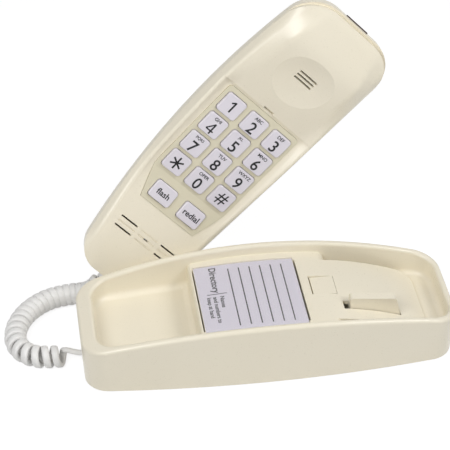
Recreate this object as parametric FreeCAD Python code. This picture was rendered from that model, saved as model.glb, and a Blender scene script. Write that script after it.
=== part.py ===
# Corded landline phone: a slim desk or wall base with a tray, and a handset that stands off the hook
# behind it, with its curly cord lying round the left end of the base.
# Millimetres. X runs along the base towards the ear end, Y away from the viewer and Z up.
# The origin is under the middle of the base, on the surface that its feet stand on.
import FreeCAD
import Part
import math
import os

from FreeCAD import Placement, Rotation, Vector

# Base housing
BASE_LENGTH = 215.0
BASE_END_WIDTH = 64.6
BASE_MID_WIDTH = 78.4
BASE_CORNER = 16.0
RIM_END_HEIGHT = 27.7
RIM_MID_HEIGHT = 42.0
WALL_DRAFT = 1.9
RIM_SIDE = 4.2
RIM_MIC_END = 10.0
RIM_EAR_END = 4.6
RIM_ROUND = 1.8
TRAY_CORNER = 13.0
WALL = 2.4
FOOT_STAND = 1.2
BASE_HEADROOM = 20.0

# Tray floor: a well for the microphone end, a raised platform and a sloping nose for the ear end
WELL_FLOOR = 18.0
WELL_ROUND = 4.0
PLATFORM_DROP = 6.0
PLATFORM_START = -40.5
PLATFORM_ROUND = 2.5
PLATFORM_END_ROUND = 5.0
NOSE_START = 30.0
NOSE_MIDDLE = 60.0
NOSE_MIDDLE_HEIGHT = 29.6
NOSE_END_INSET = 16.5
NOSE_END_HEIGHT = 17.6
NOSE_WIDTH = 53.0
NOSE_CORNER = 9.0
TROUGH_START = 40.0
TROUGH_FLOOR = 15.5
TROUGH_ROUND = 3.5

# Directory card under its window
CARD_CENTRE_X = -8.5
CARD_LENGTH = 58.0
CARD_WIDTH = 58.6
CARD_THICKNESS = 0.4
WINDOW_THICKNESS = 0.6
CARD_GAP = 0.25
CARD_AIR = 0.15
CARD_SLIT = 0.9
CARD_SLIT_DEPTH = 6.0
CARD_SLIT_INSET = 2.0

# Bottom cover, keyholes for two wall studs, feet and ballast
COVER_THICKNESS = 2.2
COVER_GAP = 0.15
STUD_SPACING = 101.6
STUD_HEAD_RADIUS = 5.0
STUD_SHANK_RADIUS = 2.0
STUD_SLOT_LENGTH = 9.0
FOOT_RADIUS = 6.0
FOOT_RECESS = 0.8
FOOT_ROUND = 0.5
FOOT_END_INSET = 23.5
FOOT_SIDE_INSET = 8.3
BOSS_RADIUS = 3.4
BOSS_HOLE_RADIUS = 1.3
BOSS_X = 66.0
BOSS_Y = 21.0
WEIGHT_LENGTH = 44.0
WEIGHT_WIDTH = 46.0
WEIGHT_THICKNESS = 7.0
WEIGHT_CORNER = 3.0
WEIGHT_CENTRE_X = -12.0

# Hookswitch
LEVER_END_INSET = 34.9
LEVER_LENGTH = 26.4
LEVER_TOP_LEFT = 39.4
LEVER_TOP_RIGHT = 36.3
LEVER_WIDTH = 5.4
LEVER_CENTRE_Y = -14.2
LEVER_FOOT = 20.5
LEVER_FOOT_RISE = 1.5
LEVER_SKIRT = 2.6
LEVER_SKIRT_TOP = 26.0
LEVER_ROUND = 1.6
SLOT_GAP = 0.7
SLOT_END_GAP = 3.4
PIN_INSET = 2.8
PIN_Z = 24.0
PIN_RADIUS = 1.5
PIN_PLAY = 0.05
EAR_THICKNESS = 2.2
EAR_GAP = 3.6
EAR_RADIUS = 3.6
SPRING_WIRE = 0.9
SPRING_GAP = 0.3
SWITCH_LENGTH = 8.0
SWITCH_WIDTH = 6.0
SWITCH_HEIGHT = 7.9
SWITCH_BUTTON_HEIGHT = 1.2
SWITCH_BUTTON_LENGTH = 1.6
SWITCH_BUTTON_WIDTH = 2.6
SWITCH_INSET = 4.6

# Wall hook for the hung handset: a flat tab in the platform, turned over for use on a wall
HOOK_LEFT = 27.6
HOOK_LENGTH = 13.4
HOOK_WIDTH = 15.6
HOOK_CENTRE_Y = 3.6
HOOK_THICKNESS = 2.0
HOOK_GAP = 0.3
HOOK_SLIT = 1.0

# Circuit board in the base
BOARD_JACK_GAP = 1.5
BASE_BOARD_LENGTH = 26.0
BASE_BOARD_WIDTH = 30.0
BOARD_THICKNESS = 1.6
STANDOFF_HEIGHT = 1.8
STANDOFF_RADIUS = 2.4
STANDOFF_INSET = 4.0

# Modular sockets and plugs
CORD_PLUG_WIDTH = 7.6
CORD_PLUG_HEIGHT = 5.8
PLUG_LENGTH = 11.0
LINE_PLUG_WIDTH = 9.6
LINE_PLUG_HEIGHT = 6.4
PLUG_GAP = 0.2
PLUG_CHAMFER = 0.6
JACK_WALL = 1.4
JACK_BACK = 1.8
BASE_CORD_Y = -5.2
BASE_CORD_Z = 8.2
LINE_JACK_Z = 8.6

# Handset outline, in its own frame: X towards the ear, Z out of the face, origin at the keypad's middle
MIC_TIP = -101.5
EAR_TIP = 105.5
MIC_HALF = 26.5
EAR_HALF = 33.5
HANDSET_MID_HALF = 36.4
MIC_CORNER = 17.0
EAR_CORNER = 21.0
PARTING_MID = -6.3
BACK_DEPTH = 16.0
BACK_ROUND = 14.5
EAR_LEDGE = 1.8
SHELL = 2.2

# Front shell: a rounded crest along each side, with the keypad in a valley between the crests
FRONT_WALL = 2.6
FRONT_BAND = 1.2
INNER_BAND_DROP = 0.4
FRONT_OVERHANG = 3.0
CREST_INSET = 2.6
CREST_ROUND = 1.8
FACE_ROUND = 2.0
VALLEY_MARGIN = 1.3
CREST_RISE_EAR = 4.0
CREST_RISE_MIC = 2.0
CREST_RIDGE_HEIGHT = 5.8
CREST_TIP_HEIGHT = 8.4
CREST_UNDER_FACE = 0.2
MIC_TIP_HEIGHT = 9.2
MOUTH_STEPS = 12
EAR_STEPS = 10

# Mouth end of the front, section by section from the function keys past the tip: the crest over the face,
# how far the face narrows, and for the last three the distance from the tip and the fall of the face
MOUTH_CRESTS = [1.2, 0.5, -0.4, -0.8, -0.9, -0.4]
MOUTH_NARROWING = [1.8, 3.4, 5.0, 8.0, 11.0, 16.0]
MOUTH_TIP_INSETS = [16.0, 7.0, -6.0]
MOUTH_TIP_FALLS = [0.5, 0.0, 0.2]

# Keypad
KEY_ROW_PITCH = 15.3
KEY_COLUMN_PITCH = 17.8
KEY_LENGTH = 12.9
KEY_WIDTH = 13.8
KEY_CORNER = 1.8
KEY_TOP_ROUND = 0.7
KEY_PROUD = 1.6
KEY_GAP = 0.3
KEY_FLANGE = 0.8
KEY_FLANGE_THICKNESS = 1.2
KEY_TRAVEL = 1.2
FLANGE_GAP = 0.1
PLATE_THICKNESS = 2.0
PLATE_PROUD = 0.6
PLATE_EAR_EDGE = 32.6
PLATE_CREASE = -31.8
PLATE_HALF = 27.3
PLATE_MIC_EDGE = -51.0
PLATE_MIC_HALF = 20.6
PLATE_CORNER = 2.5
PLATE_LEDGE = 1.2
PLATE_GAP = 0.1
FUNCTION_TILT = 10.5
FUNCTION_KEY_X = -42.2
FUNCTION_KEY_Y = 11.0
FUNCTION_KEY_LENGTH = 11.4
FUNCTION_KEY_WIDTH = 15.5
MAT_THICKNESS = 1.0
MAT_GAP = 0.3
MAT_INSET = 1.0
HANDSET_BOARD_INSET = 3.0

# Ear and mouth pieces
EAR_SLOT_X = 63.0
EAR_DISH_RADIUS = 19.5
EAR_DISH_DEPTH = 2.0
EAR_SLOPE_START = 34.6
EAR_STEP = 1.4
EAR_RIDGE_X = 80.0
EAR_RIDGE_HEIGHT = 13.5
EAR_RIDGE_SOFTNESS = 3.0
EAR_RIDGE_HALF = 24.5
EAR_END_FALL = 4.2
EAR_TIP_HALF = 17.0
EAR_WALL = 3.6
EAR_SLOT_LENGTH = 13.0
EAR_SLOT_WIDTH = 1.2
EAR_SLOT_PITCH = 2.5
RECEIVER_RADIUS = 15.0
RECEIVER_DEPTH = 7.0
RECEIVER_ROUND = 1.0
RECEIVER_SEAT_DEPTH = 5.0
RECEIVER_SEAT_GAP = 1.8
MIC_SLOT_X = -69.4
MIC_SLOT_LENGTH = 12.4
MIC_SLOT_WIDTH = 1.0
MIC_SLOT_PITCH = 3.15
MIC_COLUMN_PITCH = 15.3
MIC_GROOVE_DEPTH = 0.7
MIC_SLOT_DEPTH = 8.0
MIC_FACE_HEIGHT = 5.9
MIC_TILT = 11.0
MIC_RADIUS = 4.9
MIC_DEPTH = 5.0
MIC_SEAT_GAP = 0.6
MIC_SEAT_DEPTH = 4.0
HANG_SLOT_LENGTH = 1.2
HANG_SLOT_WIDTH = 7.4
HANG_SLOT_DEPTH = 3.0
LENS_WIDTH = 16.2
LENS_HEIGHT = 1.3
LENS_DEPTH = 3.4
LENS_Z = 2.6
LENS_INSET = 0.1
HANDSET_CORD_Z = 1.4
HANDSET_JACK_RECESS = 2.0

# Where the handset stands: its keypad's middle, and its turns about Z, Y and its own long axis
HANDSET_POINT = Vector(-13.4, 59.65, 91.8)
HANDSET_YAW = 9.2
HANDSET_LEAN = 44.0
HANDSET_ROLL = 75.2

# Curly cord between the handset's tip and the left end of the base
COIL_DIAMETER = 13.2
TAIL_DIAMETER = 4.0
TAIL_LENGTH = 7.5
COIL_FIRST_RUN = 8.5
COIL_ROUTE = [
    (-109.0, 49.0, 7.0),
    (-122.5, 46.6, 6.7),
    (-134.2, 37.6, 6.7),
    (-141.4, 25.2, 6.7),
    (-143.4, 12.4, 6.7),
    (-139.8, 2.2, 6.7),
    (-131.6, -3.8, 6.7),
    (-122.6, -4.8, 6.7),
]
TAIL_FIRST_RUN = 5.0
TAIL_LAST_RUN = 5.4
BEND_SHARE = 0.45

ARCH_RISE = RIM_MID_HEIGHT - RIM_END_HEIGHT
ARCH_RADIUS = ((BASE_LENGTH / 2) ** 2 + ARCH_RISE ** 2) / (2 * ARCH_RISE)
ARCH_CENTRE_Z = RIM_MID_HEIGHT - ARCH_RADIUS
HANDSET_MIDDLE = (MIC_TIP + EAR_TIP) / 2
COVER_TOP = FOOT_STAND + COVER_THICKNESS
OVERHEAD = RIM_MID_HEIGHT + BASE_HEADROOM
UNDERNEATH = -BASE_HEADROOM
NOSE_END = BASE_LENGTH / 2 - NOSE_END_INSET
FOOT_X = BASE_LENGTH / 2 - FOOT_END_INSET
FOOT_Y = BASE_END_WIDTH / 2 - FOOT_SIDE_INSET
LEVER_RIGHT = BASE_LENGTH / 2 - LEVER_END_INSET
LEVER_LEFT = LEVER_RIGHT - LEVER_LENGTH
PIN_X = LEVER_LEFT + PIN_INSET
SWITCH_X = LEVER_RIGHT - SWITCH_INSET
FACE_MID = -KEY_PROUD - PLATE_PROUD
PLATE_TOP = -KEY_PROUD
EAR_FOOT = FACE_MID + EAR_STEP
PLATE_SEAT = PLATE_TOP - PLATE_THICKNESS
FLANGE_TOP = PLATE_SEAT - FLANGE_GAP
MAT_TOP = FLANGE_TOP - KEY_FLANGE_THICKNESS - KEY_TRAVEL - MAT_GAP
BOARD_TOP = MAT_TOP - MAT_THICKNESS
REACH = 400.0

os.makedirs("parts", exist_ok=True)
nodes = {}


def box(x0, x1, y0, y1, z0, z1):
    return Part.makeBox(x1 - x0, y1 - y0, z1 - z0, Vector(x0, y0, z0))


def block(centre_x, centre_y, length, width, z0, z1):
    x0 = centre_x - length / 2
    y0 = centre_y - width / 2
    return box(x0, x0 + length, y0, y0 + width, z0, z1)


def post(radius, x, y, z0, z1):
    return Part.makeCylinder(radius, z1 - z0, Vector(x, y, z0))


def cross_rod(radius, x, z, y0, y1):
    return Part.makeCylinder(radius, y1 - y0, Vector(x, y0, z), Vector(0, 1, 0))


def drum(radius, x, z):
    return cross_rod(radius, x, z, -REACH / 2, REACH / 2)


def upright_edges(shape):
    return [e for e in shape.Edges if abs(e.tangentAt(e.FirstParameter).z) > 0.99]


def edges_at(shape, z):
    return [e for e in shape.Edges if abs(e.BoundBox.ZMin - z) < 0.01 and abs(e.BoundBox.ZMax - z) < 0.01]


def rounded_block(centre_x, centre_y, length, width, z0, z1, corner):
    plain = block(centre_x, centre_y, length, width, z0, z1)
    return plain.makeFillet(corner, upright_edges(plain))


def bowed_prism(x0, x1, half0, half1, mid_half, corner0, corner1, z0, z1):
    """Upright prism with bowed long sides, straight ends and rounded corners."""
    middle = (x0 + x1) / 2
    front0 = Vector(x0, -half0, z0)
    front1 = Vector(x1, -half1, z0)
    rear1 = Vector(x1, half1, z0)
    rear0 = Vector(x0, half0, z0)
    edges = [
        Part.Arc(front0, Vector(middle, -mid_half, z0), front1).toShape(),
        Part.LineSegment(front1, rear1).toShape(),
        Part.Arc(rear1, Vector(middle, mid_half, z0), rear0).toShape(),
        Part.LineSegment(rear0, front0).toShape(),
    ]
    prism = Part.Face(Part.Wire(edges)).extrude(Vector(0, 0, z1 - z0))
    left = [e for e in upright_edges(prism) if e.CenterOfMass.x < middle]
    prism = prism.makeFillet(corner0, left)
    right = [e for e in upright_edges(prism) if abs(e.CenterOfMass.x - x1) < 0.01]
    return prism.makeFillet(corner1, right)


def base_wire(inset, z):
    half_length = BASE_LENGTH / 2 - inset
    end = BASE_END_WIDTH / 2 - inset
    middle = BASE_MID_WIDTH / 2 - inset
    corner = BASE_CORNER - inset
    prism = bowed_prism(-half_length, half_length, end, end, middle, corner, corner, z, z + 1)
    floor = min(prism.Faces, key=lambda f: f.CenterOfMass.z)
    return floor.OuterWire


def base_block(inset, z0, z1):
    """The drafted outer form of the base, moved in by inset, between two heights."""
    def draft(z):
        return WALL_DRAFT * (RIM_MID_HEIGHT - z) / (RIM_MID_HEIGHT - FOOT_STAND)
    wires = [base_wire(inset + draft(z0), z0), base_wire(inset + draft(z1), z1)]
    return Part.makeLoft(wires, True, True)


def platform_height(x):
    """Height of the concentric part of the platform."""
    radius = ARCH_RADIUS - PLATFORM_DROP
    return ARCH_CENTRE_Z + math.sqrt(radius ** 2 - x ** 2)


def platform_block(lower, x0, x1, y0, y1):
    """Everything under the platform's top surface, moved down by lower, in a span of X and Y."""
    a = Vector(PLATFORM_START - 5, 0, platform_height(PLATFORM_START - 5) - lower)
    b = Vector(0, 0, platform_height(0) - lower)
    c = Vector(NOSE_START, 0, platform_height(NOSE_START) - lower)
    d = Vector(NOSE_MIDDLE, 0, NOSE_MIDDLE_HEIGHT - lower)
    e = Vector(NOSE_END, 0, NOSE_END_HEIGHT - lower)
    f = Vector(NOSE_END, 0, UNDERNEATH)
    g = Vector(a.x, 0, UNDERNEATH)
    edges = [Part.Arc(a, b, c).toShape(), Part.Arc(c, d, e).toShape()]
    edges += [Part.LineSegment(p, q).toShape() for p, q in ((e, f), (f, g), (g, a))]
    profile = Part.Face(Part.Wire(edges))
    solid = profile.extrude(Vector(0, y1 - y0, 0))
    solid.translate(Vector(0, y0, 0))
    return solid.common(box(x0, x1, y0, y1, UNDERNEATH, OVERHEAD))


def top_edges_at(shape, x):
    """Edges that cross a block's top at one place along X."""
    across = [e for e in shape.Edges if abs(e.tangentAt(e.FirstParameter).y) > 0.99]
    return [e for e in across if abs(e.CenterOfMass.x - x) < 0.01 and e.CenterOfMass.z > TROUGH_FLOOR]


def tray_space():
    """The space over the tray floor: the well, and what is left round and over the platform."""
    x0 = -BASE_LENGTH / 2 + RIM_MIC_END
    x1 = BASE_LENGTH / 2 - RIM_EAR_END
    end = BASE_END_WIDTH / 2 - RIM_SIDE
    middle = BASE_MID_WIDTH / 2 - RIM_SIDE
    space = bowed_prism(x0, x1, end, end, middle, TRAY_CORNER, TRAY_CORNER, TROUGH_FLOOR, OVERHEAD)
    wide = platform_block(0, PLATFORM_START, TROUGH_START, -REACH / 4, REACH / 4)
    wide = wide.makeFillet(PLATFORM_ROUND, top_edges_at(wide, PLATFORM_START))
    wide = wide.makeFillet(PLATFORM_END_ROUND, top_edges_at(wide, TROUGH_START))
    nose = platform_block(0, TROUGH_START - NOSE_CORNER, NOSE_END, -NOSE_WIDTH / 2, NOSE_WIDTH / 2)
    outer_posts = [e for e in upright_edges(nose) if e.CenterOfMass.x > NOSE_MIDDLE]
    nose = nose.makeFillet(NOSE_CORNER, outer_posts)
    under_well = box(-REACH / 2, PLATFORM_START + 1, -REACH / 4, REACH / 4, 0, WELL_FLOOR)
    space = space.cut(under_well).cut(wide).cut(nose)
    well_edges = [e for e in edges_at(space, WELL_FLOOR) if e.CenterOfMass.x < PLATFORM_START + 1]
    space = space.makeFillet(WELL_ROUND, well_edges)
    trough_edges = [e for e in edges_at(space, TROUGH_FLOOR)
                    if e.CenterOfMass.x > NOSE_END + 1 or abs(e.CenterOfMass.y) > NOSE_WIDTH / 2 + 1]
    return space.makeFillet(TROUGH_ROUND, trough_edges)


def rim_edges(shape):
    """Edges of the rim's arched top face."""
    found = []
    for face in shape.Faces:
        surface = face.Surface
        if isinstance(surface, Part.Cylinder) and abs(surface.Radius - ARCH_RADIUS) < 0.01:
            found += face.Edges
    return found


def card_space(extra, lower, thickness):
    """A slice that follows the platform's arch, over the card's plan."""
    outer = drum(ARCH_RADIUS - PLATFORM_DROP - lower + thickness, 0, ARCH_CENTRE_Z)
    inner = drum(ARCH_RADIUS - PLATFORM_DROP - lower, 0, ARCH_CENTRE_Z)
    length = CARD_LENGTH + 2 * extra
    width = CARD_WIDTH + 2 * extra
    return block(CARD_CENTRE_X, 0, length, width, 0, OVERHEAD).common(outer).cut(inner)


def card_slits():
    """Narrow deep slits at both ends of the card."""
    near = CARD_LENGTH / 2 + CARD_GAP
    width = CARD_WIDTH - 2 * CARD_SLIT_INSET
    low = platform_height(CARD_CENTRE_X - near) - CARD_SLIT_DEPTH
    return [block(CARD_CENTRE_X + side * (near + CARD_SLIT / 2), 0, CARD_SLIT, width, low, OVERHEAD)
            for side in (-1, 1)]


def corner_places(x, y):
    return [(x, y), (x, -y), (-x, y), (-x, -y)]


def plug_opening(width, height):
    return width + 2 * PLUG_GAP, height + 2 * PLUG_GAP


def base_end_x(z):
    """Where the drafted end wall stands at a height, from the middle."""
    return BASE_LENGTH / 2 - WALL_DRAFT * (RIM_MID_HEIGHT - z) / (RIM_MID_HEIGHT - FOOT_STAND)


def make_jack(width, height):
    """A modular socket, open towards -X, with its mouth's middle at the origin."""
    open_width, open_height = plug_opening(width, height)
    depth = PLUG_LENGTH + PLUG_GAP
    outer = box(0, depth + JACK_BACK, -open_width / 2 - JACK_WALL, open_width / 2 + JACK_WALL,
                -open_height / 2 - JACK_WALL, open_height / 2 + JACK_WALL)
    mouth = box(-1, depth, -open_width / 2, open_width / 2, -open_height / 2, open_height / 2)
    return outer.cut(mouth)


def make_plug(width, height):
    """A modular plug, its cord end at the origin and its nose towards +X."""
    body = box(0, PLUG_LENGTH, -width / 2, width / 2, -height / 2, height / 2)
    nose_edges = [e for e in body.Edges if abs(e.CenterOfMass.x - PLUG_LENGTH) < 0.01]
    return body.makeChamfer(PLUG_CHAMFER, nose_edges)


def base_cord_mouth():
    return Vector(-base_end_x(BASE_CORD_Z), BASE_CORD_Y, BASE_CORD_Z)


def line_mouth():
    return Vector(base_end_x(LINE_JACK_Z), 0, LINE_JACK_Z)


def moved(shape, offset):
    copy = shape.copy()
    copy.translate(offset)
    return copy


def jack_seat(jack, offset):
    """The pocket that a socket takes in the housing, from the cover up."""
    span = jack.BoundBox
    return box(span.XMin + offset.x, span.XMax + offset.x, span.YMin + offset.y - PLUG_GAP,
               span.YMax + offset.y + PLUG_GAP, FOOT_STAND, span.ZMax + offset.z)


def base_cord_jack():
    return moved(make_jack(CORD_PLUG_WIDTH, CORD_PLUG_HEIGHT), base_cord_mouth() + Vector(WALL, 0, 0))


def line_jack():
    jack = make_jack(LINE_PLUG_WIDTH, LINE_PLUG_HEIGHT).mirror(Vector(0, 0, 0), Vector(1, 0, 0))
    return moved(jack, line_mouth() - Vector(WALL, 0, 0))


def lever_slot():
    half = LEVER_WIDTH / 2 + SLOT_GAP
    return box(LEVER_LEFT - SLOT_END_GAP, LEVER_RIGHT + SLOT_END_GAP,
               LEVER_CENTRE_Y - half, LEVER_CENTRE_Y + half, COVER_TOP, OVERHEAD)


def pin_ears():
    """Two lugs under the platform that carry the lever's pin."""
    lugs = []
    for side in (-1, 1):
        near = LEVER_CENTRE_Y + side * (LEVER_WIDTH / 2 + EAR_GAP)
        far = near + side * EAR_THICKNESS
        y0 = min(near, far)
        y1 = max(near, far)
        lug = box(PIN_X - EAR_RADIUS, PIN_X + EAR_RADIUS, y0, y1, PIN_Z, platform_height(NOSE_START))
        lug = lug.common(platform_block(WALL / 2, PLATFORM_START, NOSE_END, y0, y1))
        lugs.append(lug.fuse(cross_rod(EAR_RADIUS, PIN_X, PIN_Z, y0, y1)))
    return lugs


def hook_top():
    return platform_height(HOOK_LEFT + HOOK_LENGTH)


def hook_pocket():
    half = HOOK_WIDTH / 2 + HOOK_GAP
    return box(HOOK_LEFT - HOOK_SLIT, HOOK_LEFT + HOOK_LENGTH + HOOK_GAP,
               HOOK_CENTRE_Y - half, HOOK_CENTRE_Y + half, hook_top() - HOOK_THICKNESS, OVERHEAD)


def make_base_housing():
    outer = base_block(0, FOOT_STAND, RIM_MID_HEIGHT + 2).common(drum(ARCH_RADIUS, 0, ARCH_CENTRE_Z))
    housing = outer.cut(tray_space())
    housing = housing.makeFillet(RIM_ROUND, rim_edges(housing))
    ceiling = TROUGH_FLOOR - WALL
    hollow = base_block(WALL, FOOT_STAND, ceiling)
    under = platform_block(WALL, PLATFORM_START + WALL, NOSE_END - WALL,
                           WALL - NOSE_WIDTH / 2, NOSE_WIDTH / 2 - WALL)
    under = under.common(box(-REACH, REACH, -REACH, REACH, FOOT_STAND, OVERHEAD))
    housing = housing.cut(hollow).cut(under)
    hook_floor = block(HOOK_LEFT + HOOK_LENGTH / 2, HOOK_CENTRE_Y, HOOK_LENGTH + 4 * WALL,
                       HOOK_WIDTH + 4 * WALL, hook_top() - HOOK_THICKNESS - WALL, hook_top())
    hook_floor = hook_floor.common(platform_block(WALL / 2, PLATFORM_START, NOSE_END, -REACH / 4, REACH / 4))
    housing = housing.fuse(hook_floor)
    housing = housing.cut(lever_slot())
    for lug in pin_ears():
        housing = housing.fuse(lug)
    ear_reach = LEVER_WIDTH / 2 + EAR_GAP + EAR_THICKNESS
    housing = housing.cut(cross_rod(PIN_RADIUS, PIN_X, PIN_Z,
                                    LEVER_CENTRE_Y - ear_reach, LEVER_CENTRE_Y + ear_reach))
    for x, y in corner_places(BOSS_X, BOSS_Y):
        housing = housing.fuse(post(BOSS_RADIUS, x, y, COVER_TOP, ceiling + WALL / 2))
    for x, y in corner_places(BOSS_X, BOSS_Y):
        housing = housing.cut(post(BOSS_HOLE_RADIUS, x, y, COVER_TOP - 1, ceiling))
    housing = housing.cut(hook_pocket())
    pocket_depth = CARD_THICKNESS + CARD_AIR + WINDOW_THICKNESS
    housing = housing.cut(card_space(CARD_GAP, pocket_depth, pocket_depth + PLATFORM_DROP))
    for slit in card_slits():
        housing = housing.cut(slit)
    housing = housing.cut(jack_seat(base_cord_jack(), Vector())).cut(jack_seat(line_jack(), Vector()))
    for mouth, width, height in ((base_cord_mouth(), CORD_PLUG_WIDTH, CORD_PLUG_HEIGHT),
                                 (line_mouth(), LINE_PLUG_WIDTH, LINE_PLUG_HEIGHT)):
        open_width, open_height = plug_opening(width, height)
        opening = block(mouth.x, mouth.y, 4 * WALL, open_width,
                        mouth.z - open_height / 2, mouth.z + open_height / 2)
        housing = housing.cut(opening)
    return housing.removeSplitter()


def keyhole(x):
    """A stud's round entry, with a narrow slot that runs towards the ear end."""
    low = FOOT_STAND - 1
    high = COVER_TOP + 1
    slot = box(x, x + STUD_SLOT_LENGTH, -STUD_SHANK_RADIUS, STUD_SHANK_RADIUS, low, high)
    end = post(STUD_SHANK_RADIUS, x + STUD_SLOT_LENGTH, 0, low, high)
    return post(STUD_HEAD_RADIUS, x, 0, low, high).fuse(slot).fuse(end)


def base_board_left():
    """Left end of the base's board, which stops short of the line socket's back."""
    return line_jack().BoundBox.XMin - BOARD_JACK_GAP - BASE_BOARD_LENGTH


def board_places(left, length, width):
    x0 = left + STANDOFF_INSET
    x1 = left + length - STANDOFF_INSET
    y = width / 2 - STANDOFF_INSET
    return [(x0, y), (x0, -y), (x1, y), (x1, -y)]


def make_base_cover():
    cover = base_block(WALL + COVER_GAP, FOOT_STAND, COVER_TOP)
    for x, y in corner_places(FOOT_X, FOOT_Y):
        cover = cover.cut(post(FOOT_RADIUS, x, y, FOOT_STAND - 1, FOOT_STAND + FOOT_RECESS))
    for x, y in corner_places(BOSS_X, BOSS_Y):
        cover = cover.cut(post(BOSS_HOLE_RADIUS, x, y, FOOT_STAND - 1, COVER_TOP + 1))
    for x, y in board_places(base_board_left(), BASE_BOARD_LENGTH, BASE_BOARD_WIDTH):
        cover = cover.fuse(post(STANDOFF_RADIUS, x, y, COVER_TOP - 1, COVER_TOP + STANDOFF_HEIGHT))
    for x in (-STUD_SPACING / 2, STUD_SPACING / 2):
        cover = cover.cut(keyhole(x))
    return cover.removeSplitter()


def make_rubber_feet():
    feet = [post(FOOT_RADIUS, x, y, 0, FOOT_STAND + FOOT_RECESS) for x, y in corner_places(FOOT_X, FOOT_Y)]
    return Part.makeCompound([f.makeFillet(FOOT_ROUND, edges_at(f, 0)) for f in feet])


def make_base_weight():
    return rounded_block(WEIGHT_CENTRE_X, 0, WEIGHT_LENGTH, WEIGHT_WIDTH,
                         COVER_TOP, COVER_TOP + WEIGHT_THICKNESS, WEIGHT_CORNER)


def make_base_board():
    z = COVER_TOP + STANDOFF_HEIGHT
    return block(base_board_left() + BASE_BOARD_LENGTH / 2, 0, BASE_BOARD_LENGTH, BASE_BOARD_WIDTH,
                 z, z + BOARD_THICKNESS)


def make_hookswitch_switch():
    z = COVER_TOP + STANDOFF_HEIGHT + BOARD_THICKNESS
    y = max(LEVER_CENTRE_Y, SWITCH_WIDTH / 2 - BASE_BOARD_WIDTH / 2)
    body = block(SWITCH_X, y, SWITCH_LENGTH, SWITCH_WIDTH, z, z + SWITCH_HEIGHT - SWITCH_BUTTON_HEIGHT)
    button = block(SWITCH_X + SWITCH_BUTTON_LENGTH, y, SWITCH_BUTTON_LENGTH, SWITCH_BUTTON_WIDTH,
                   z, z + SWITCH_HEIGHT)
    return body.fuse(button)


def make_hookswitch_lever():
    half = LEVER_WIDTH / 2
    skirt = LEVER_RIGHT + LEVER_SKIRT
    points = [(LEVER_LEFT, LEVER_FOOT), (skirt, LEVER_FOOT + LEVER_FOOT_RISE), (skirt, LEVER_SKIRT_TOP),
              (LEVER_RIGHT, LEVER_TOP_RIGHT), (LEVER_LEFT, LEVER_TOP_LEFT)]
    corners = [Vector(x, LEVER_CENTRE_Y - half, z) for x, z in points]
    profile = Part.Face(Part.makePolygon(corners + corners[:1]))
    bar = profile.extrude(Vector(0, LEVER_WIDTH, 0))
    across = [e for e in bar.Edges if abs(e.tangentAt(e.FirstParameter).y) > 0.99]
    bar = bar.makeFillet(LEVER_ROUND, across)
    return bar.cut(cross_rod(PIN_RADIUS + PIN_PLAY, PIN_X, PIN_Z,
                             LEVER_CENTRE_Y - half - 1, LEVER_CENTRE_Y + half + 1))


def make_hookswitch_pin():
    reach = LEVER_WIDTH / 2 + EAR_GAP + EAR_THICKNESS
    return cross_rod(PIN_RADIUS, PIN_X, PIN_Z, LEVER_CENTRE_Y - reach, LEVER_CENTRE_Y + reach)


def make_hookswitch_spring():
    """Torsion spring beside the lever, its turns closed up into one sleeve on the pin."""
    y0 = LEVER_CENTRE_Y + LEVER_WIDTH / 2 + SPRING_GAP
    y1 = LEVER_CENTRE_Y + LEVER_WIDTH / 2 + EAR_GAP
    sleeve = cross_rod(PIN_RADIUS + SPRING_WIRE, PIN_X, PIN_Z, y0, y1)
    return sleeve.cut(cross_rod(PIN_RADIUS, PIN_X, PIN_Z, y0 - 1, y1 + 1))


def make_handset_hook():
    z1 = hook_top()
    return block(HOOK_LEFT + HOOK_LENGTH / 2, HOOK_CENTRE_Y, HOOK_LENGTH, HOOK_WIDTH, z1 - HOOK_THICKNESS, z1)


def parting_drum(extra):
    return drum(ARCH_RADIUS + extra, HANDSET_MIDDLE, PARTING_MID + ARCH_RADIUS)


def parting_height(x):
    return PARTING_MID + ARCH_RADIUS - math.sqrt(ARCH_RADIUS ** 2 - (x - HANDSET_MIDDLE) ** 2)


def handset_prism(inset, z0, z1):
    return bowed_prism(MIC_TIP + inset, EAR_TIP - inset, MIC_HALF - inset, EAR_HALF - inset,
                       HANDSET_MID_HALF - inset, MIC_CORNER - inset, EAR_CORNER - inset, z0, z1)


def handset_half(x):
    """Half width of the handset's bowed sides, near enough, from their three points."""
    share = (x - MIC_TIP) / (EAR_TIP - MIC_TIP)
    bow = HANDSET_MID_HALF - (MIC_HALF + EAR_HALF) / 2
    return MIC_HALF + (EAR_HALF - MIC_HALF) * share + 4 * bow * share * (1 - share)


def back_form(inset):
    """Outer form of the back: the outline cut by a concentric arch and rounded along its edge."""
    body = handset_prism(inset, PARTING_MID - BACK_DEPTH - 5, EAR_RIDGE_HEIGHT)
    body = body.common(parting_drum(BACK_DEPTH - inset))
    arch_radius = ARCH_RADIUS + BACK_DEPTH - inset
    rim = []
    for face in body.Faces:
        surface = face.Surface
        if isinstance(surface, Part.Cylinder) and abs(surface.Radius - arch_radius) < 0.01:
            rim += face.Edges
    return body.makeFillet(BACK_ROUND - inset, rim)


def front_prism(inset):
    """The front's outline, which leaves a ledge of the back in view at the ear tip."""
    return bowed_prism(MIC_TIP + inset, EAR_TIP - EAR_LEDGE - inset, MIC_HALF - inset, EAR_HALF - inset,
                       HANDSET_MID_HALF - inset, MIC_CORNER - inset, EAR_CORNER - inset,
                       PARTING_MID - SHELL, EAR_RIDGE_HEIGHT + SHELL)


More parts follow.
